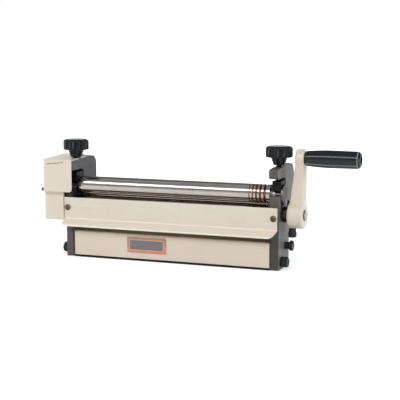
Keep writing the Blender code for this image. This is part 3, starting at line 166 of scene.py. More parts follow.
# Noises whose waves depend on the finish: detail and shift
PEEL = (2.0, 9.0)
STAINS = (5.0, 0.0)
CUTS = (3.0, 2.0)
MOULDING = (2.0, 1.0)

# Noises: waves to the metre, detail and shift
RUBS = (160.0, 4.0, 7.0)
SATIN = (60.0, 3.0, 5.0)
PLASTIC_SPECKS = (520.0, 4.0, 0.0)
PLASTIC_SATIN = (210.0, 3.0, 3.0)
BADGE_GRAIN = (900.0, 2.0, 0.0)

# Noises with the range that they are spread over: waves to the metre, detail, shift, lowest and highest
CLOUDS = (11.0, 4.0, 0.0, 0.0, 0.6)
SPECKS = (420.0, 3.0, 3.0, 0.0, 0.4)
METAL_PATCHES = (80.0, 3.0, 4.0, 0.0, 0.05)
HANDLED_PATCHES = (70.0, 3.0, 6.0, 0.25, 1.0)
APRON_HIGHLIGHT_PATCHES = (26.0, 3.0, 2.0, 0.55, 1.0)
SCRAPE_WANDER = (260.0, 2.0, 4.0, -0.0006, 0.0006)
SCRAPE_BREAKS = (420.0, 3.0, 6.0, 0.35, 1.0)
MOUTH_SHADE_PATCHES = (90.0, 3.0, 1.0, 0.75, 1.0)
CORNER_SHADE_PATCHES = (120.0, 4.0, 5.0, 0.3, 0.85)
DIRT_PATCHES = (300.0, 3.0, 8.0, 0.65, 1.0)
BADGE_FADES = (95.0, 5.0, 0.0, 0.0, 0.35)
BADGE_SATIN = (240.0, 3.0, 0.0, 0.3, 0.42)

# Marks in the paint and on the badge, painted highlight and painted shade among them: where they are, how
# soft and how strong
# The apron's crease and hem carry a painted highlight
CREASE_HEIGHT = 0.0682
CREASE_HALF = 0.0006
HEM_HEIGHT = 0.0586
SCRAPE_LEFT = -0.267
SCRAPE_RIGHT = -0.238
SCRAPE_LOW = 0.1635
SCRAPE_HIGH = 0.1666
SCRAPE_HALF = 0.0006
SCRAPE_TAPER = 0.0024
SCRAPE_BACK = 0.006
SCRAPE_SOFT = 0.001
# Painted shade in the left housing's mouth, round the lower bearing
MOUTH_SHADE_LOW = 0.098
MOUTH_SHADE_HIGH = 0.121
MOUTH_SHADE_SOFT = 0.0025
MOUTH_SHADE_BACK = -0.024
# Which faces get the painted side light and the painted front shade
FACING_FROM = (0.6, 0.9)
FACING_SHARE = 0.85
# Painted shade on the right housing's front faces, below this height
FRONT_SHADE_HIGH = 0.1
FRONT_SHADE_SOFT = 0.02
# Painted shade in the corner of each housing's front beside the panel
CORNER_SHADE_WIDE = 0.0034
CORNER_SHADE_HIGH = 0.055
CORNER_SHADE_SOFT = 0.0012
CORNER_SHADE_TOP_SOFT = 0.0036
BADGE_INSET = 0.0048
BADGE_LINE_HALF = 0.0003
BADGE_LINE_SHARE = 0.6
BADGE_FIELD = (0.0052, 0.0055)
BADGE_GRAIN_DEPTH = 1.5e-5

# Ground steel of the rolls
GROUND_ROUGHNESS = 0.1
GROUND_LINES = (1.0, 0.01, 0.01)
GROUND_WAVES = 1500.0
GROUND_DEPTH = 3e-7

# Marks on the rolls, the flanges and the handle, painted shade and painted highlights among them: where they
# are, how soft and how strong
WARM_FROM = (0.088, 0.104)
DIRT_FROM = (0.00015, 0.0007)
DIRT_UNTIL = (0.0024, 0.0028)
JOURNAL_FROM = (0.0026, 0.0029)
DIRT_ROUGHER = 0.18
RING_START = 0.62
RING_END = 0.72
RING_SOFT = 0.03
# Painted shade over a shaft's last part, with its end face in a painted tone
END_SHADE_LENGTH = 0.0020
END_SOFT = 0.0001
END_ROUGHER = 0.25
# Painted highlight lines on the handle
HIGHLIGHT_LINE_ANGLE = math.radians(36)
HIGHLIGHT_LINE_HALF = 0.0008
HIGHLIGHT_LINE_SOFT = 0.00064
CAP_HIGHLIGHT = 0.0046
CAP_HIGHLIGHT_HALF = 0.0006

# Camera, from the photograph
CAMERA_PLACE = (0.6293517, -1.7434976, 0.3759384)
CAMERA_TURN = (1.4250478, 0.0, 0.3495343)
CAMERA_LENS = 97.3845825
SENSOR = 36.0

# Studio. A band of light is an angle, upwards from straight ahead in degrees, and a level
WHITE = (1.0, 1.0, 1.0, 1.0)
FLOOR_SIZE = 14.0
FLOOR_DROP = 0.0004
FLOOR_COLOUR = (0.82, 0.82, 0.82, 1.0)
FLOOR_NEAR = 0.45
FLOOR_FAR = 1.3
FLOOR_GLOW = 0.42
FLOOR_GLOSS = 0.05
FILL_LOW = 0.46
FILL_HIGH = 0.66
FILL_FROM = (0.1, 0.9)
BANDS = [(-180, 0.9), (-90, 0.6), (-2, 0.66), (9, 0.66), (12, 0.16), (22, 0.16), (26, 0.8), (55, 0.8),
         (62, 0.2), (80, 0.34), (105, 0.34), (120, 0.14), (158, 0.2), (166, 0.95), (180, 0.95)]

# Lamps: name, place, what it faces, width, height, radiance, whether gloss shows it, and tint
LAMP_AIM = (0.0, 0.0, 0.1)
STRIP_AIM = (0.0, 0.0, 0.17)
KEY_FAR = 1.6
KEY_RISE = math.radians(39)
KEY_PLACE = (-0.2, -KEY_FAR * math.cos(KEY_RISE), LAMP_AIM[2] + KEY_FAR * math.sin(KEY_RISE))
PLAIN = (1.0, 1.0, 1.0)
COOL = (0.88, 0.95, 1.0)
LAMPS = [
    ("key_box", KEY_PLACE, LAMP_AIM, 3.0, 0.28, 5.25, True, PLAIN),
    ("right_box", (1.5, 0.1, 0.7), LAMP_AIM, 1.0, 0.8, 2.4, False, COOL),
    ("rear_box", (-0.4, 1.7, 1.0), LAMP_AIM, 1.6, 0.7, 1.3, False, PLAIN),
    ("left_strip", (-1.2, -0.35, 0.17), STRIP_AIM, 0.16, 0.3, 14.0, True, COOL),
    ("right_strip", (1.15, -0.1, 0.17), STRIP_AIM, 0.16, 0.3, 13.0, True, COOL),
]

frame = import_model()
NODES = frame["nodes"]


def srgb(code):
    """The linear colour of one written as six sRGB digits."""
    parts = [int(code[i:i + 2], 16) / 255 for i in (0, 2, 4)]
    linear = [c / 12.92 if c <= 0.04045 else ((c + 0.055) / 1.055) ** 2.4 for c in parts]
    return (*linear, 1.0)


def add(tree, kind, settings=None, inputs=None):
    """A new node, with its settings and with links, values or colour codes at its inputs."""
    node = tree.nodes.new(kind)
    for key, value in (settings or {}).items():
        setattr(node, key, value)
    for key, value in (inputs or {}).items():
        if isinstance(value, bpy.types.NodeSocket):
            tree.links.new(value, node.inputs[key])
        else:
            node.inputs[key].default_value = srgb(value) if isinstance(value, str) else value
    return node


def material(name, metallic, gloss=PLAIN_GLOSS):
    """A new material, and its tree and shader."""
    made = bpy.data.materials.new(name)
    made.use_nodes = True
    shader = made.node_tree.nodes["Principled BSDF"]
    shader.inputs["Metallic"].default_value = metallic
    shader.inputs["Specular IOR Level"].default_value = gloss
    return made, made.node_tree, shader


def grain(tree, waves, detail, shift=0.0, stretch=(1.0, 1.0, 1.0)):
    """Noise with so many waves to the metre, stretched along the axes."""
    place = add(tree, "ShaderNodeTexCoord").outputs["Object"]
    inputs = {"Vector": place, "Scale": stretch, "Location": (shift,) * 3}
    moved = add(tree, "ShaderNodeMapping", inputs=inputs)
    inputs = {"Vector": moved.outputs["Vector"], "Scale": waves, "Detail": detail}
    return add(tree, "ShaderNodeTexNoise", inputs=inputs).outputs[0]


def spread(tree, value, low, high, start=NOISE_LOW, end=NOISE_HIGH):
    """A value spread from one range to another."""
    inputs = {"Value": value, "From Min": start, "From Max": end, "To Min": low, "To Max": high}
    return add(tree, "ShaderNodeMapRange", inputs=inputs).outputs["Result"]


def ranged(tree, noise):
    """A noise spread over the range that its table row gives."""
    waves, detail, shift, low, high = noise
    return spread(tree, grain(tree, waves, detail, shift), low, high)


def varied(tree, noise, roughness, varies):
    """A roughness that varies with a noise."""
    down, up = varies
    return spread(tree, noise, roughness - down, roughness + up)


def sums(tree, operation, first, second=0.0):
    """A sum or other step with one value or two."""
    return add(tree, "ShaderNodeMath", {"operation": operation}, {0: first, 1: second}).outputs[0]


def product(tree, first, *others):
    """The product of several values."""
    for other in others:
        first = sums(tree, "MULTIPLY", first, other)
    return first


def mixed(tree, share, first, second):
    """One colour going over into another."""
    inputs = {"Factor": share, MIX_FIRST: first, MIX_SECOND: second}
    return add(tree, "ShaderNodeMix", {"data_type": "RGBA"}, inputs).outputs[MIX_RESULT]


def axes(tree, kind="Object"):
    """The three coordinates of a point."""
    place = add(tree, "ShaderNodeTexCoord").outputs[kind]
    return add(tree, "ShaderNodeSeparateXYZ", inputs={0: place}).outputs


def from_middle(tree, node):
    """The three object coordinates, measured from the middle of a CAD node."""
    low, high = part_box(node)
    middle = (low + high) / 2
    return [sums(tree, "SUBTRACT", along, centre) for along, centre in zip(axes(tree), middle)]


def off_axis(tree, node):
    """The distance from the axis of a CAD node that is turned round X."""
    _, back, up = from_middle(tree, node)
    return sums(tree, "SQRT", sums(tree, "ADD", product(tree, back, back), product(tree, up, up)))


def rising(tree, value, start, end):
    """A mask that goes from zero to one as a value rises."""
    return spread(tree, value, 0.0, 1.0, start, end)


def falling(tree, value, start, end):
    """A mask that goes from one to zero as a value rises."""
    return spread(tree, value, 1.0, 0.0, start, end)


def between(tree, value, low, high, soft):
    """A mask that is one from a low to a high value, with soft sides."""
    return product(tree, rising(tree, value, low - soft, low), falling(tree, value, high, high + soft))


def near(tree, value, place, half, soft):
    """A mask that is one within half a width of a place, with soft sides."""
    off = sums(tree, "ABSOLUTE", sums(tree, "SUBTRACT", value, place))
    return falling(tree, off, half, half + soft)


def facing(tree, axis, way):
    """A mask of the faces that look one way along an axis."""
    normal = add(tree, "ShaderNodeNewGeometry").outputs["True Normal"]
    along = product(tree, add(tree, "ShaderNodeSeparateXYZ", inputs={0: normal}).outputs[axis], way)
    return spread(tree, along, 0.0, FACING_SHARE, *FACING_FROM)


def edges(tree, radius):
    """A mask of the corners, one where they are sharp."""
    rounded = add(tree, "ShaderNodeBevel", {"samples": CORNER_SAMPLES}, {"Radius": radius}).outputs["Normal"]
    straight = add(tree, "ShaderNodeNewGeometry").outputs["Normal"]
    likeness = add(tree, "ShaderNodeVectorMath", {"operation": "DOT_PRODUCT"}, {0: rounded, 1: straight})
    return falling(tree, likeness.outputs["Value"], *CORNER_UNTIL)


def bumped(tree, height, distance, soften=0.0):
    """A normal that is raised by a height, and rounded over the corners within a radius."""
    inputs = {"Height": height, "Distance": distance}
    if soften:
        rounded = add(tree, "ShaderNodeBevel", {"samples": SOFT_SAMPLES}, {"Radius": soften})
        inputs["Normal"] = rounded.outputs["Normal"]
    return add(tree, "ShaderNodeBump", inputs=inputs).outputs["Normal"]


def toned(made, mask, colour):
    """Lays a colour over a material where a mask is one."""
    tree = made.node_tree
    base = tree.nodes["Principled BSDF"].inputs["Base Color"]
    tree.links.new(mixed(tree, mask, base.links[0].from_socket, colour), base)
    return made


def roughened(made, more):
    """Adds to a material's roughness."""
    tree = made.node_tree
    roughness = tree.nodes["Principled BSDF"].inputs["Roughness"]
    tree.links.new(sums(tree, "ADD", roughness.links[0].from_socket, more), roughness)
    return made


def paint(name, colour, dark, worn, roughness, peel_waves=650.0, peel_depth=3e-5, wear=0.35, edge=0.0007,
          coat=0.0, gloss=PLAIN_GLOSS, soften=0.0):
    """Sprayed paint: clouds in its tone, fine orange peel, and wear along its corners."""
    made, tree, shader = material(name, 0.0, gloss)
    shader.inputs["Coat Weight"].default_value = coat
    shader.inputs["Coat Roughness"].default_value = COAT_ROUGHNESS
    tone = mixed(tree, sums(tree, "ADD", ranged(tree, CLOUDS), ranged(tree, SPECKS)), colour, dark)
    rubbed = spread(tree, grain(tree, *RUBS), 0.0, wear, *RUBBED_FROM)
    share = product(tree, edges(tree, edge), rubbed)
    tree.links.new(mixed(tree, share, tone, worn), shader.inputs["Base Color"])
    satin = varied(tree, grain(tree, *SATIN), roughness, PAINT_VARIES)
    tree.links.new(satin, shader.inputs["Roughness"])
    peel = grain(tree, peel_waves, *PEEL)
    tree.links.new(bumped(tree, peel, peel_depth, soften), shader.inputs["Normal"])
    return made


def apron_painted_highlight(made, bright):
    """Paints highlight along the apron's crease and its hem: a lighter tone of its paint where the bends
    catch the light.
    """
    tree = made.node_tree
    up = axes(tree)["Z"]
    crease = between(tree, up, CREASE_HEIGHT - CREASE_HALF, CREASE_HEIGHT + CREASE_HALF, CREASE_HALF)
    hem = falling(tree, up, HEM_HEIGHT, HEM_HEIGHT + CREASE_HALF)
    mask = product(tree, sums(tree, "MAXIMUM", crease, hem), ranged(tree, APRON_HIGHLIGHT_PATCHES))
    return toned(made, mask, bright)


def scraped_cover(made, node, scar):
    """A scrape along the front bend of the upper cover."""
    tree = made.node_tree
    apart = axes(tree)
    rise = (SCRAPE_HIGH - SCRAPE_LOW) / (SCRAPE_RIGHT - SCRAPE_LEFT)
    line = sums(tree, "ADD", product(tree, apart["X"], rise), SCRAPE_LOW - SCRAPE_LEFT * rise)
    height = sums(tree, "ADD", apart["Z"], ranged(tree, SCRAPE_WANDER))
    thin = near(tree, height, line, SCRAPE_HALF, SCRAPE_HALF)
    along = between(tree, apart["X"], SCRAPE_LEFT, SCRAPE_RIGHT, SCRAPE_TAPER)
    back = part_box(node)[0].y + SCRAPE_BACK
    front = falling(tree, apart["Y"], back, back + SCRAPE_SOFT)
    return toned(made, product(tree, thin, along, front, ranged(tree, SCRAPE_BREAKS)), scar)


def casting_paint_lit_side(name, colour, dark, side, gloss):
    """A housing's paint over rough cast iron, with its right-facing faces in another tone that is painted
    side light.
    """
    made = paint(name, colour, dark, CAST_WORN, gloss=gloss, **CAST)
    return toned(made, facing(made.node_tree, "X", 1.0), side)


def painted_mouth_shade(made, node, mouth_shade_colour, deepest_shade):
    """Painted shade round the lower bearing of a housing, in its mouth, near black beside its inner face."""
    tree = made.node_tree
    apart = axes(tree)
    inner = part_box(node)[1].x - MOUTH_SHADE_SOFT
    height = between(tree, apart["Z"], MOUTH_SHADE_LOW, MOUTH_SHADE_HIGH, MOUTH_SHADE_SOFT)
    ahead = falling(tree, apart["Y"], MOUTH_SHADE_BACK - MOUTH_SHADE_SOFT, MOUTH_SHADE_BACK)
    mask = product(tree, height, ahead, ranged(tree, MOUTH_SHADE_PATCHES))
    toned(made, mask, mouth_shade_colour)
    return toned(made, product(tree, mask, rising(tree, apart["X"], inner - MOUTH_SHADE_SOFT, inner)), deepest_shade)


def painted_front_shade(made, colour):
    """Painted shade: a darker tone on a housing's front faces, under its mouth."""
    tree = made.node_tree
    below = falling(tree, axes(tree)["Z"], FRONT_SHADE_HIGH, FRONT_SHADE_HIGH + FRONT_SHADE_SOFT)
    return toned(made, product(tree, facing(tree, "Y", -1.0), below), colour)


def painted_corner_shade(made, inner, colour):
    """Painted shade on a housing's front face, darker in the corner beside the panel."""
    tree = made.node_tree
    apart = axes(tree)
    beside = near(tree, apart["X"], inner, CORNER_SHADE_WIDE, CORNER_SHADE_SOFT)
    below = falling(tree, apart["Z"], CORNER_SHADE_HIGH, CORNER_SHADE_HIGH + CORNER_SHADE_TOP_SOFT)
    mask = product(tree, beside, below, facing(tree, "Y", -1.0), ranged(tree, CORNER_SHADE_PATCHES))
    return toned(made, mask, colour)


def badge(name, node, rim, rim_top, middle, line):
    """A plain plate: a field in a rim that goes over into another tone upwards, and a pale line between."""
    low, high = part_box(node)
    made, tree, shader = material(name, 0.0)
    across, _, up = [sums(tree, "ABSOLUTE", way) for way in from_middle(tree, node)]
    from_side = sums(tree, "SUBTRACT", (high.x - low.x) / 2, across)
    from_top = sums(tree, "SUBTRACT", (high.z - low.z) / 2, up)
    inset = sums(tree, "MINIMUM", from_side, from_top)
    on_line = near(tree, inset, BADGE_INSET, BADGE_LINE_HALF, BADGE_LINE_HALF)
    higher = rising(tree, axes(tree)["Z"], low.z, high.z)
    ground = mixed(tree, ranged(tree, BADGE_FADES), mixed(tree, higher, rim, rim_top), middle)
    field = mixed(tree, rising(tree, inset, *BADGE_FIELD), ground, middle)
    lined = mixed(tree, product(tree, on_line, BADGE_LINE_SHARE), field, line)
    tree.links.new(lined, shader.inputs["Base Color"])
    tree.links.new(ranged(tree, BADGE_SATIN), shader.inputs["Roughness"])
    tree.links.new(bumped(tree, grain(tree, *BADGE_GRAIN), BADGE_GRAIN_DEPTH), shader.inputs["Normal"])
    return made


def steel(name, colour, stain, roughness, lines, line_waves, depth, metallic=1.0, stain_waves=45.0,
          stain_share=0.5):
    """Machined metal: cutting lines along one way, and faint stains."""
    made, tree, shader = material(name, metallic)
    patch = spread(tree, grain(tree, stain_waves, *STAINS), 0.0, stain_share, *STAINED_FROM)
    tree.links.new(mixed(tree, patch, colour, stain), shader.inputs["Base Color"])
    cuts = grain(tree, line_waves, *CUTS, lines)
    tree.links.new(varied(tree, cuts, roughness, METAL_VARIES), shader.inputs["Roughness"])
    tree.links.new(bumped(tree, cuts, depth), shader.inputs["Normal"])
    return roughened(made, ranged(tree, METAL_PATCHES))


def roll_metal(name, node, colour, stain, warm, dirt, dull):
    """Ground steel, warmer and with dirt at the wire grooves, and with duller journals."""
    low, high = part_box(node)
    made = steel(name, colour, stain, GROUND_ROUGHNESS, GROUND_LINES, GROUND_WAVES, GROUND_DEPTH)
    tree = made.node_tree
    depth = sums(tree, "SUBTRACT", (high.z - low.z) / 2, off_axis(tree, node))
    inside = product(tree, rising(tree, depth, *DIRT_FROM), falling(tree, depth, *DIRT_UNTIL))
    grooves = product(tree, inside, ranged(tree, DIRT_PATCHES))
    journals = rising(tree, depth, *JOURNAL_FROM)
    toned(made, rising(tree, axes(tree)["X"], *WARM_FROM), warm)
    toned(made, grooves, dirt)
    toned(made, journals, dull)
    return roughened(made, product(tree, sums(tree, "MAXIMUM", grooves, journals), DIRT_ROUGHER))


def end_face_and_gap_shade(made, node, colour, shade):
    """A shaft's end face in its own painted tone, inside a band of painted shade over its last part, where
    the gap round the shaft falls in shadow.
    """
    tree = made.node_tree
    along = axes(tree)["X"]
    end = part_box(node)[1].x
    gap_shade = rising(tree, along, end - END_SHADE_LENGTH, end - END_SHADE_LENGTH + END_SOFT)
    toned(made, gap_shade, shade)
    toned(made, rising(tree, along, end - END_SOFT * 2, end - END_SOFT), colour)
    return roughened(made, product(tree, gap_shade, END_ROUGHER))


def ringed(made, node, ring):
    """A ring turned into a disc's face."""
    tree = made.node_tree
    low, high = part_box(node)
    out = sums(tree, "DIVIDE", off_axis(tree, node), (high.z - low.z) / 2)
    return toned(made, between(tree, out, RING_START, RING_END, RING_SOFT), ring)


def plastic(name, colour, speck, roughness, waves, depth, rubbed, gloss=PLAIN_GLOSS):
    """Moulded plastic: a grain, fine light specks where it has been handled, and lighter corners that are
    partly rubbed wear and partly painted highlight.
    """
    made, tree, shader = material(name, 0.0, gloss)
    specks = rising(tree, grain(tree, *PLASTIC_SPECKS), *SPECKLED_FROM)
    handled = product(tree, specks, ranged(tree, HANDLED_PATCHES))
    # Lighter corners: rubbed wear, and a painted highlight where the edges catch the light
    worn = product(tree, edges(tree, HANDLED_AND_LIT_CORNER), rubbed)
    share = sums(tree, "MAXIMUM", handled, worn)
    tree.links.new(mixed(tree, share, colour, speck), shader.inputs["Base Color"])
    satin = varied(tree, grain(tree, *PLASTIC_SATIN), roughness, PLASTIC_VARIES)
    tree.links.new(satin, shader.inputs["Roughness"])
    tree.links.new(bumped(tree, grain(tree, waves, *MOULDING), depth), shader.inputs["Normal"])
    return made


def painted_handle_highlights(made, node, line):
    """Painted highlights on the moulded handle: a light line along each side, and a light line round its end
    cap.
    """
    tree = made.node_tree
    along = axes(tree)["X"]
    _, back, up = from_middle(tree, node)
    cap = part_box(node)[1].x - CAP_HIGHLIGHT
    lean = product(tree, back, math.tan(HIGHLIGHT_LINE_ANGLE))
    lengthwise_highlight = near(tree, up, lean, HIGHLIGHT_LINE_HALF, HIGHLIGHT_LINE_SOFT)
    lengthwise_highlight = product(tree, lengthwise_highlight, falling(tree, along, cap, cap + CAP_HIGHLIGHT_HALF))
    ring = near(tree, along, cap, CAP_HIGHLIGHT_HALF, CAP_HIGHLIGHT_HALF)
    return toned(made, sums(tree, "MAXIMUM", lengthwise_highlight, ring), line)


# Kinds of paint, and the colours of worn corners
CREAM_WORN = "c9bdac"
CAST_WORN = "8a857d"
COATED = {"roughness": 0.4, "coat": PAINT_COAT}
CAST = {"roughness": 0.42, "peel_waves": 300.0, "peel_depth": 1.4e-4, "wear": 0.7, "edge": 0.0012}
CRANK = {"roughness": 0.38, "peel_waves": 240.0, "peel_depth": 8e-5, "coat": PAINT_COAT, "soften": CAST_SOFT}
BLOCK = {"roughness": 0.4, "peel_waves": 420.0, "peel_depth": 6e-5, "wear": 0.5, "edge": 0.001,
         "gloss": DULL_GLOSS}
BASE = {"roughness": 0.5, "peel_waves": 400.0, "peel_depth": 6e-5, "gloss": 0.12}

# Plain paints: material, colour, darker clouds, worn corners and kind
PAINTS = {
    "apron": ("apron_coat", "e1d6c9", "dacdbf", CREAM_WORN, COATED),
    "cover": ("cover_coat", "dfd5c7", "d9cdbe", CREAM_WORN, COATED),
    "guard": ("guard_coat", "e0d5c6", "d8cbba", CREAM_WORN, COATED),
    "panel": ("panel_coat", "e4d7c9", "dbcebd", CREAM_WORN, {"roughness": 0.42}),
    # The shelf's dark olive is painted shade, for the shadow under the apron's lip
    "shelf": ("shelf_shade_coat", "a8986e", "8d7d56", "b8ab88", {"roughness": 0.8, "gloss": 0.0}),
    "crank": ("crank_coat", "ded2c3", "d3c6b5", "a89b8a", CRANK),
    "block": ("block_coat", "141717", "0d0e0e", "333534", BLOCK),
    "base": ("base_coat", "292722", "1e1d19", "55524c", BASE),
}

# Ways of the cutting lines, as the stretch of their noise
ROUND_X = (1.0, 0.03, 0.03)
ROUND_Y = (0.03, 1.0, 0.03)
ROUND_Z = (0.03, 0.03, 1.0)

# Plain metals, in the order of steel's values
METALS = {
    "flange": ("flange_metal", "8a8482", "4d4946", 0.36, ROUND_X, 700.0, 1e-5, 1.0, 130.0, 0.9),
    "collar": ("collar_metal", "4a4535", "231f14", 0.36, ROUND_X, 500.0, 1e-5, 1.0, 170.0, 0.9),
    "gear": ("gear_metal", "8f8a82", "55503f", 0.3, ROUND_X, 600.0, 1e-5),
    "dark": ("stud_metal", "4c4a48", "2e2c2a", 0.34, ROUND_Z, 700.0, 8e-6),
    "oxide": ("oxide_metal", "2b2d2f", "191a1b", 0.3, ROUND_Y, 500.0, 1e-5, 0.6),
    "bronze": ("bush_bronze", "b98f55", "7d5c33", 0.35, ROUND_X, 600.0, 1e-5),
    "zinc": ("screw_plate", "7d7461", "4a4333", 0.38, ROUND_Y, 500.0, 1e-5, 1.0, 160.0, 0.8),
}

# Rolls: material, colour, stain, warm end, dirt in the grooves and dull journals
ROLLS = {
    "roll_top": ("roll_top_steel", "d3ccc7", "bfb5ae", "cfbbaf", "4a3428", "b8b5b0"),
    # The bottom roll's darker steel is painted shade: it lies under the top roll, in its shadow
    "roll_bottom": ("roll_bottom_shaded_steel", "8d857e", "776e66", "887a70", "34251c", "6c6965"),
    "roll_rear": ("roll_rear_steel", "d0cac5", "b5aca4", "cbb9ae", "4d382c", "8d8a86"),
}


def make_finishes():
    """Every finish by its name."""
    made = {name: paint(*values, **kind) for name, (*values, kind) in PAINTS.items()}
    made.update({name: steel(*values) for name, values in METALS.items()})
    for name, (coat, *colours) in ROLLS.items():
        made[name] = roll_metal(coat, name, *colours)
    # A painted highlight along the apron's crease and hem
    apron_painted_highlight(made["apron"], "f3eadf")
    scraped_cover(made["cover"], "cover_upper", "5a4634")
    # Painted shade on the top roll's end; painted highlight on the bottom roll's end face, each inside a
    # band of painted shade
    end_face_and_gap_shade(made["roll_top"], "roll_top", "8a8480", "57524c")
    end_face_and_gap_shade(made["roll_bottom"], "roll_bottom", "d6d2c8", "57523f")
    ringed(made["flange"], "bearing_flange_right", "2b2826")
    # The right-facing faces carry painted side light: a cool tint on the left housing, a lighter tone on the
    # right
    left = casting_paint_lit_side("casting_left_coat", "66625e", "524f4a", "5f5e63", DULL_GLOSS)
    right = casting_paint_lit_side("casting_right_coat", "605d59", "4f4c47", "686662", PLAIN_GLOSS)
    # Painted shade in the left housing's mouth
    painted_mouth_shade(left, "housing_left", "322c27", "0c0f0f")
    # Painted shade on the right housing's front
    painted_front_shade(right, "3c3934")
    # Painted shade in the housings' front corners beside the panel
    made["casting_left"] = painted_corner_shade(left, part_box("housing_left")[1].x, "2e2225")
    made["casting_right"] = painted_corner_shade(right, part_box("housing_right")[0].x, "2e2225")
    # The knobs' lighter corners are partly painted highlight
    made["knob"] = plastic("knob_moulding", "101315", "25292c", 0.2, 900.0, 1.2e-5, 0.8, gloss=0.3)
    handle = plastic("handle_moulding", "111518", "23282b", 0.13, 300.0, 2e-6, 0.4)
    # Painted highlight lines on the handle
    made["handle"] = painted_handle_highlights(handle, "handle_grip", "75797b")
    made["badge"] = badge("badge_face", "badge_plate", "e3937b", "b98a70", "7d7573", "e3d0c4")
    return made


def piece(name, mesh, node, finish):
    """A new piece that stands for a CAD node and rides on its body."""
    item = bpy.data.objects.new(name, mesh)
    bpy.context.scene.collection.objects.link(item)
    mesh.materials.clear()
    mesh.materials.append(finish)
    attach(item, NODES[node]["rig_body"])
    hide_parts(node)
    return item


def smooth(mesh, angle=SMOOTH_ANGLE):
    """Smooth shading that stops at sharp corners."""
    mesh.shade_smooth()
    mesh.set_sharp_from_angle(angle=angle)
    return mesh


def break_corners(item, edge):
    """Small rounds on a piece's sharp corners."""
    bevel = item.modifiers.new("corners", "BEVEL")
    bevel.width = edge
    bevel.segments = EDGE_SEGMENTS
    bevel.limit_method = "ANGLE"
    bevel.angle_limit = SMOOTH_ANGLE
    bevel.harden_normals = True
    return item


def finer_arcs(item, width):
    """Rounds the low corners between the facets of an outline's arcs."""
    mesh = item.data
    form = bmesh.new()
    form.from_mesh(mesh)
    weights = mesh.attributes.new("bevel_weight_edge", "FLOAT", "EDGE")
    for edge in form.edges:
        if len(edge.link_faces) == 2:
            bend = edge.calc_face_angle()
            weights.data[edge.index].value = 1.0 if ARC_BEND_LOW < bend < SMOOTH_ANGLE else 0.0
    form.free()
    bevel = item.modifiers.new("arcs", "BEVEL")
    bevel.width = width
    bevel.segments = ARC_SEGMENTS
    bevel.limit_method = "WEIGHT"


def welded(node):
    """The CAD node's mesh with its facets joined and its flat faces whole."""
    form = bmesh.new()
    form.from_mesh(NODES[node].data)
    bmesh.ops.remove_doubles(form, verts=form.verts, dist=WELD)
    bmesh.ops.dissolve_limit(form, angle_limit=FLAT_ANGLE, verts=form.verts, edges=form.edges)
    mesh = bpy.data.meshes.new(node)
    form.to_mesh(mesh)
    form.free()
    if "custom_normal" in mesh.attributes:
        mesh.attributes.remove(mesh.attributes["custom_normal"])
    return mesh


def refine(node, finish, edge):
    """The CAD node's shape, smooth on its curves and with its corners broken."""
    item = piece(node + "_skin", smooth(welded(node)), node, finish)
    if node in ARC_CUTS:
        finer_arcs(item, ARC_CUTS[node])
    return break_corners(item, edge)


def paint_shaded_shelf(item, finish):
    """The dull finish on the shelf behind the panel's top edge, its dark olive a painted shade from the
    apron's lip.
    """
    item.data.materials.append(finish)
    top = max(vert.co.z for vert in item.data.vertices)
    for face in item.data.polygons:
        if face.center.z > top - WELD:
            face.material_index = 1


def axis_frame(direction):
    """A turn that takes local Z to a direction."""
    return Vector(direction).to_track_quat("Z", "Y").to_matrix().to_4x4()


def axle_of(node, direction):
    """Where a turned CAD node starts along its own axis, its length and its greatest radius."""
    line = Vector(direction).normalized()
    points = [v.co for v in NODES[node].data.vertices]
    along = [p.dot(line) for p in points]
    middle = sum(points, Vector()) / len(points)
    middle = middle - line * middle.dot(line)
    radius = max((p - line * p.dot(line) - middle).length for p in points)
    return middle + line * min(along), max(along) - min(along), radius


def placed(mesh, start, direction):
    """Moves a mesh made about Z to where its axis starts, and turns it to its direction."""
    mesh.transform(Matrix.Translation(start) @ axis_frame(direction))
    return mesh


def even(radius, height):
    """A plain ring."""
    return lambda angle: (radius, height)


def rings_mesh(name, rings, sides, closed=False):
    """A skin through rings of points, each a function of its angle, capped unless it closes on itself."""
    form = bmesh.new()
    rows = []
    for ring in rings:
        row = []
        for i in range(sides):
            angle = math.tau * i / sides
            radius, height = ring(angle)
            row.append(form.verts.new((radius * math.cos(angle), radius * math.sin(angle), height)))
        rows.append(row)
    pairs = list(zip(rows, rows[1:]))
    if closed:
        pairs.append((rows[-1], rows[0]))
    for lower, upper in pairs:
        for i in range(sides):
            j = (i + 1) % sides
            form.faces.new((lower[i], lower[j], upper[j], upper[i]))
    if not closed:
        form.faces.new(rows[0][::-1])
        form.faces.new(rows[-1])
    bmesh.ops.recalc_face_normals(form, faces=form.faces)
    mesh = bpy.data.meshes.new(name)
    form.to_mesh(mesh)
    form.free()
    return mesh


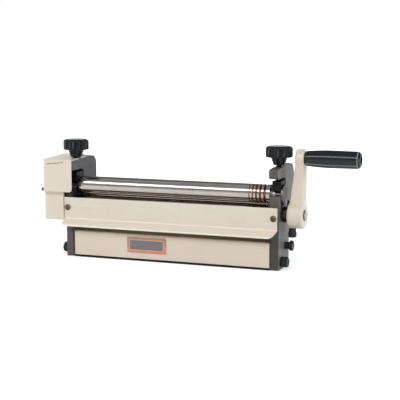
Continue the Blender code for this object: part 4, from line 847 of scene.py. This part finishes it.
def meridian(node, direction):
    """The profile of a turned CAD node as (along, radius) points, and whether it closes on itself."""
    turn = axis_frame(direction).inverted()
    start = axle_of(node, direction)[0]
    form = bmesh.new()
    form.from_mesh(NODES[node].data)
    bmesh.ops.remove_doubles(form, verts=form.verts, dist=WELD)
    form.transform(turn @ Matrix.Translation(-start))
    widest = max(form.verts, key=lambda v: v.co.xy.length)
    angle = math.atan2(widest.co.y, widest.co.x)
    chosen = set()
    for vert in form.verts:
        off = math.atan2(vert.co.y, vert.co.x) - angle
        if abs(math.remainder(off, math.tau)) < SAME_MERIDIAN:
            chosen.add(vert)
    beside = {}
    for vert in chosen:
        others = [edge.other_vert(vert) for edge in vert.link_edges]
        beside[vert] = [other for other in others if other in chosen]
    ends = [vert for vert in chosen if len(beside[vert]) == 1]
    here = min(ends or chosen, key=lambda v: (round(v.co.z, 6), v.co.xy.length))
    walk = [here]
    while True:
        onward = [vert for vert in beside[walk[-1]] if vert not in walk]
        if not onward:
            break
        walk.append(onward[0])
    points = [(vert.co.z, vert.co.xy.length) for vert in walk]
    if len(walk) != len(chosen):
        raise ValueError(f"{node} isn't turned round one axis")
    form.free()
    return points, not ends


def finer_grooves(points):
    """The profile with each half-round groove in many steps."""
    rim = max(radius for _, radius in points)
    groove = [True] + [False] * (GROOVE_FACETS - 1) + [True]
    made = []
    index = 0
    while index < len(points):
        made.append(points[index])
        group = points[index:index + GROOVE_FACETS + 1]
        on_rim = [abs(radius - rim) < WELD for _, radius in group]
        half = (group[-1][0] - group[0][0]) / 2
        if on_rim == groove and half * 2 < rim:
            middle = group[0][0] + half
            for step in range(1, GROOVE_STEPS):
                angle = math.pi * step / GROOVE_STEPS
                made.append((middle - half * math.cos(angle), rim - half * math.sin(angle)))
            index += GROOVE_FACETS
        else:
            index += 1
    return made


def turn_anew(node, direction, sides, finish, edge):
    """A turned CAD node made again with many more sides."""
    points, closed = meridian(node, direction)
    rings = [even(radius, along) for along, radius in finer_grooves(points)]
    mesh = placed(rings_mesh(node, rings, sides, closed), axle_of(node, direction)[0], direction)
    return break_corners(piece(node + "_turned", smooth(mesh), node, finish), edge)


def thread_ring(height, length, radius, pitch):
    """One ring of a screw thread, chamfered at both ends."""
    depth = pitch * THREAD_SHARE

    def ring(angle):
        phase = (height / pitch - angle / math.tau) % 1.0
        crest = 1 - abs(2 * phase - 1)
        room = min(height, length - height)
        return min(radius - depth * (1 - crest), radius - depth + room), height

    return ring


def make_thread(node, direction, pitch, finish):
    """A stud with its helical thread."""
    start, length, radius = axle_of(node, direction)
    count = round(length / pitch * RINGS_A_PITCH)
    rings = [thread_ring(length * i / count, length, radius, pitch) for i in range(count + 1)]
    mesh = placed(rings_mesh(node + "_thread", rings, THREAD_SIDES), start, direction)
    return piece(node + "_thread", smooth(mesh, THREAD_SMOOTH_ANGLE), node, finish)


def fluted(radius, height, flute, crest):
    """A ring with broad lobes and narrower flutes."""
    def ring(angle):
        wave = (1 - math.cos((angle - crest) * KNOB_LOBES)) / 2
        return radius - flute * wave ** FLUTE_NARROWING, height
    return ring


def eased(levels):
    """The levels of a knob, with a rounded step in place of each straight one between two radii."""
    made = [levels[0]]
    for (low, inner, share), (high, outer, next_share) in zip(levels, levels[1:]):
        if high > low and inner != outer and share + next_share > 0:
            for step in range(1, ROUND_STEPS):
                angle = math.pi / 2 * step / ROUND_STEPS
                part = math.sin(angle) if outer > inner else 1 - math.cos(angle)
                rise = 1 - math.cos(angle) if outer > inner else math.sin(angle)
                made.append((low + (high - low) * rise, inner + (outer - inner) * part,
                             share + (next_share - share) * part))
        made.append((high, outer, next_share))
    return made


def make_knob(node, direction, levels, flute, socket, finish):
    """A hand knob with smooth flutes, and the socket for its stud."""
    start = axle_of(node, direction)[0]
    back = axis_frame(direction).inverted()
    widest = max((back @ (v.co - start) for v in NODES[node].data.vertices), key=lambda p: p.xy.length)
    crest = math.atan2(widest.y, widest.x)
    radius, depth = socket
    rings = [even(radius, depth), even(radius, 0.0)]
    rings += [fluted(size, height, flute * share, crest) for height, size, share in eased(levels)]
    mesh = placed(rings_mesh(node, rings, KNOB_SIDES), start, direction)
    return break_corners(piece(node + "_fluted", smooth(mesh), node, finish), EDGE_FINE)


def bar(name, across, along, low, high):
    """A box mesh about the Z axis."""
    form = bmesh.new()
    bmesh.ops.create_cube(form, size=1.0)
    bmesh.ops.scale(form, verts=form.verts, vec=(across, along, high - low))
    bmesh.ops.translate(form, verts=form.verts, vec=(0.0, 0.0, (high + low) / 2))
    mesh = bpy.data.meshes.new(name)
    form.to_mesh(mesh)
    form.free()
    return mesh


def hollowed(mesh, cutters):
    """The mesh with the cutters' shapes taken out of it."""
    item = bpy.data.objects.new("blank", mesh)
    bpy.context.scene.collection.objects.link(item)
    tools = []
    for cutter in cutters:
        tool = bpy.data.objects.new("tool", cutter)
        bpy.context.scene.collection.objects.link(tool)
        tools.append(tool)
        step = item.modifiers.new("cut", "BOOLEAN")
        step.operation = "DIFFERENCE"
        step.solver = "EXACT"
        step.object = tool
    bpy.context.view_layer.update()
    seen = item.evaluated_get(bpy.context.evaluated_depsgraph_get())
    made = bpy.data.meshes.new_from_object(seen)
    for thing in [item, *tools]:
        bpy.data.objects.remove(thing)
    return made


def make_pan_screw(node, direction, finish):
    """A pan-head screw with a cross recess."""
    start, length, radius = axle_of(node, direction)
    seat = length - PAN_HEIGHT
    shoulder = seat + PAN_HEIGHT * PAN_STRAIGHT_SHARE
    dome_share = 1 - PAN_STRAIGHT_SHARE
    rings = [even(PAN_SHANK, 0.0), even(PAN_SHANK, seat), even(radius, seat), even(radius, shoulder)]
    for angle in PAN_DOME_ANGLES:
        size = radius * (PAN_STRAIGHT_SHARE + dome_share * math.cos(angle))
        rings.append(even(size, shoulder + PAN_HEIGHT * dome_share * math.sin(angle)))
    low = length - CROSS_DEPTH
    high = length + CROSS_DEPTH
    cross = [bar("recess", CROSS_WIDTH, CROSS_REACH * 2, low, high),
             bar("recess", CROSS_REACH * 2, CROSS_WIDTH, low, high)]
    mesh = placed(hollowed(rings_mesh(node, rings, SMALL_SIDES), cross), start, direction)
    return break_corners(piece(node + "_pan", smooth(mesh), node, finish), EDGE_FINE / 2)


def knurled(radius, height):
    """A ring with straight knurls."""
    return lambda angle: (radius - KNURL_DEPTH * abs(math.sin(angle * HEAD_KNURLS / 2)), height)


def make_socket_bolt(node, direction, finish):
    """A cap screw with a knurled head and a hexagon socket."""
    start, length, radius = axle_of(node, direction)
    seat = length - CAP_HEAD
    rim = radius - HEAD_CHAMFER
    rings = [even(CAP_SHANK, 0.0), even(CAP_SHANK, seat), even(rim, seat),
             knurled(radius, seat + HEAD_CHAMFER), knurled(radius, length - HEAD_CHAMFER - KNURL_DEPTH),
             even(rim, length - KNURL_DEPTH), even(rim - KNURL_DEPTH, length)]
    ends = [even(SOCKET_RADIUS, length - SOCKET_DEPTH), even(SOCKET_RADIUS, length + SOCKET_DEPTH)]
    hexagon = rings_mesh("socket", ends, SOCKET_SIDES)
    mesh = hollowed(rings_mesh(node, rings, HEAD_KNURLS * KNURL_SIDES), [hexagon])
    return piece(node + "_cap", smooth(placed(mesh, start, direction)), node, finish)


def make_world():
    """A white room for the camera, a soft fill for matt surfaces, and banded light for bright metal."""
    world = bpy.data.worlds.new("studio")
    bpy.context.scene.world = world
    world.use_nodes = True
    tree = world.node_tree
    tree.nodes.clear()
    path = add(tree, "ShaderNodeLightPath").outputs
    apart = axes(tree, "Generated")
    turn = sums(tree, "ARCTAN2", apart["Z"], product(tree, apart["Y"], -1.0))
    ramp = add(tree, "ShaderNodeValToRGB", inputs={"Fac": rising(tree, turn, -math.pi, math.pi)})
    stops = ramp.color_ramp.elements
    while len(stops) < len(BANDS):
        stops.new(0.5)
    for stop, (degrees, level) in zip(stops, BANDS):
        stop.position = degrees / 360 + 0.5
        stop.color = (level, level, level, 1.0)
    fill_level = spread(tree, apart["Z"], FILL_LOW, FILL_HIGH, *FILL_FROM)
    fill = add(tree, "ShaderNodeBackground", inputs={"Color": WHITE, "Strength": fill_level})
    room = add(tree, "ShaderNodeBackground", inputs={"Color": ramp.outputs["Color"], "Strength": 1.0})
    white = add(tree, "ShaderNodeBackground", inputs={"Color": WHITE, "Strength": 1.0})
    inputs = {"Fac": path["Is Glossy Ray"], 1: fill.outputs[0], 2: room.outputs[0]}
    shiny = add(tree, "ShaderNodeMixShader", inputs=inputs)
    seen = sums(tree, "MAXIMUM", path["Is Camera Ray"], path["Is Transmission Ray"])
    both = add(tree, "ShaderNodeMixShader", inputs={"Fac": seen, 1: shiny.outputs[0], 2: white.outputs[0]})
    add(tree, "ShaderNodeOutputWorld", inputs={"Surface": both.outputs[0]})


def make_lamp(name, place, aim, width, height, radiance, in_gloss, tint):
    """A soft box with a given brightness, turned to face a point."""
    lamp = bpy.data.lights.new(name, "AREA")
    lamp.color = tint
    lamp.shape = "RECTANGLE"
    lamp.size = width
    lamp.size_y = height
    lamp.energy = radiance * math.pi * width * height
    item = bpy.data.objects.new(name, lamp)
    bpy.context.scene.collection.objects.link(item)
    item.location = place
    item.rotation_euler = (Vector(aim) - Vector(place)).to_track_quat("-Z", "Y").to_euler()
    item.visible_glossy = in_gloss


def make_floor():
    """A pale floor that goes over into the white room and keeps the shadow."""
    half = FLOOR_SIZE / 2
    corners = [(-half, -half, 0), (half, -half, 0), (half, half, 0), (-half, half, 0)]
    mesh = bpy.data.meshes.new("floor")
    mesh.from_pydata(corners, [], [(0, 1, 2, 3)])
    item = bpy.data.objects.new("floor", mesh)
    bpy.context.scene.collection.objects.link(item)
    item.location.z = -FLOOR_DROP
    made = bpy.data.materials.new("pale_floor")
    made.use_nodes = True
    tree = made.node_tree
    tree.nodes.clear()
    path = add(tree, "ShaderNodeLightPath").outputs
    matt = add(tree, "ShaderNodeBsdfDiffuse", inputs={"Color": FLOOR_COLOUR})
    place = add(tree, "ShaderNodeTexCoord").outputs["Object"]
    away = add(tree, "ShaderNodeVectorMath", {"operation": "LENGTH"}, {0: place}).outputs["Value"]
    seen = product(tree, path["Is Camera Ray"], spread(tree, away, FLOOR_GLOW, 1.0, FLOOR_NEAR, FLOOR_FAR))
    level = sums(tree, "MAXIMUM", seen, product(tree, path["Is Glossy Ray"], FLOOR_GLOSS))
    glow = add(tree, "ShaderNodeEmission", inputs={"Color": WHITE, "Strength": level})
    both = add(tree, "ShaderNodeAddShader", inputs={0: matt.outputs[0], 1: glow.outputs[0]})
    add(tree, "ShaderNodeOutputMaterial", inputs={"Surface": both.outputs[0]})
    mesh.materials.append(made)


def make_camera():
    """The photograph's camera."""
    camera = bpy.data.cameras.new("camera")
    camera.lens = CAMERA_LENS
    camera.sensor_width = SENSOR
    item = bpy.data.objects.new("camera", camera)
    bpy.context.scene.collection.objects.link(item)
    item.location = CAMERA_PLACE
    item.rotation_euler = CAMERA_TURN
    bpy.context.scene.camera = item


# Nodes that keep their shape and are made smooth: finish, CAD slot, corner, names
SKINS = [
    ("apron", "cream_paint", EDGE_SHEET, ["apron"]),
    ("cover", "guard_paint", EDGE_SHEET, ["cover_upper"]),
    ("guard", "guard_paint", EDGE_SHEET, ["cover_lower"]),
    ("block", "dark_steel", EDGE_SHEET, ["cover_bracket"]),
    ("dark", "dark_steel", EDGE_TURNED, ["tie_rod_front", "tie_rod_rear"]),
    ("crank", "crank_paint", EDGE_CAST, ["crank_arm"]),
    ("casting_left", "grey_casting", EDGE_CAST, ["housing_left"]),
    ("casting_right", "grey_casting", EDGE_CAST, ["housing_right"]),
    ("base", "base_paint", EDGE_SHEET, ["base_plate"]),
    ("gear", "gear_steel", EDGE_FINE, ["gear_top", "gear_bottom", "gear_nut_top", "gear_nut_bottom"]),
    ("block", "black_oxide", EDGE_CAST, ["bearing_block_top_left", "bearing_block_top_right",
                                         "bearing_block_rear_left", "bearing_block_rear_right",
                                         "slot_cap_left", "slot_cap_right"]),
    ("badge", "badge_red", EDGE_FINE, ["badge_plate"]),
]

# Nodes that are turned anew round an axis: finish, CAD slot, corner, sides, axis, names
ROUNDS = [
    ("roll_top", "ground_steel", EDGE_FINE, TURNED_SIDES, RIGHT, ["roll_top"]),
    ("roll_bottom", "ground_steel", EDGE_FINE, TURNED_SIDES, RIGHT, ["roll_bottom"]),
    ("roll_rear", "ground_steel", EDGE_FINE, TURNED_SIDES, RIGHT, ["roll_rear"]),
    ("flange", "flange_steel", EDGE_TURNED, TURNED_SIDES, RIGHT, ["bearing_flange_left",
                                                                  "bearing_flange_right"]),
    ("collar", "flange_steel", EDGE_TURNED, TURNED_SIDES, RIGHT, ["shaft_collar"]),
    ("gear", "gear_steel", EDGE_FINE, SMALL_SIDES, RIGHT, ["gear_washer_top", "gear_washer_bottom"]),
    ("handle", "black_plastic", EDGE_TURNED, TURNED_SIDES, RIGHT, ["handle_grip"]),
    ("dark", "dark_steel", EDGE_FINE, SMALL_SIDES, RIGHT, ["handle_spindle", "handle_ferrule"]),
    ("bronze", "bearing_bronze", EDGE_TURNED, SMALL_SIDES, RIGHT, ["bush_bottom_left", "bush_bottom_right"]),
    ("oxide", "black_oxide", EDGE_FINE, SMALL_SIDES, LEFT, ["cover_screw_front", "cover_screw_rear",
                                                            "tie_bolt_rear_left"]),
    ("oxide", "black_oxide", EDGE_FINE, SMALL_SIDES, RIGHT, ["tie_bolt_rear_right"]),
    ("oxide", "black_oxide", EDGE_FINE, SMALL_SIDES, DOWN, ["crank_lock_screw"]),
    ("oxide", "screw_zinc", EDGE_FINE, SMALL_SIDES, REAR, ["slot_cap_screw_left_low",
                                                           "slot_cap_screw_left_high",
                                                           "slot_cap_screw_right_low",
                                                           "slot_cap_screw_right_high"]),
]


def main():
    """The studio, then each piece of the machine."""
    make_camera()
    make_world()
    for lamp in LAMPS:
        make_lamp(*lamp)
    make_floor()
    bpy.context.scene.view_settings.view_transform = "Standard"
    finishes = make_finishes()
    knob = finishes["knob"]
    dark = finishes["dark"]
    for finish, slot, edge, nodes in SKINS:
        for node in nodes:
            refine(node, finishes[finish], edge)
    # The panel's top shelf gets the painted shade
    paint_shaded_shelf(refine("lower_panel", finishes["panel"], EDGE_SHEET), finishes["shelf"])
    for finish, slot, edge, sides, direction, nodes in ROUNDS:
        for node in nodes:
            turn_anew(node, direction, sides, finishes[finish], edge)
    for side, out in (("left", LEFT), ("right", RIGHT)):
        make_knob("knob_top_" + side, UP, TOP_LEVELS, TOP_FLUTE, TOP_SOCKET, knob)
        make_knob("knob_rear_" + side, REAR, REAR_LEVELS, REAR_FLUTE, REAR_SOCKET, knob)
        make_thread("stud_top_" + side, UP, TOP_PITCH, dark)
        make_thread("stud_rear_" + side, REAR, REAR_PITCH, dark)
        make_pan_screw("apron_screw_" + side, AHEAD, finishes["zinc"])
        make_socket_bolt("tie_bolt_front_" + side, out, finishes["oxide"])


main()
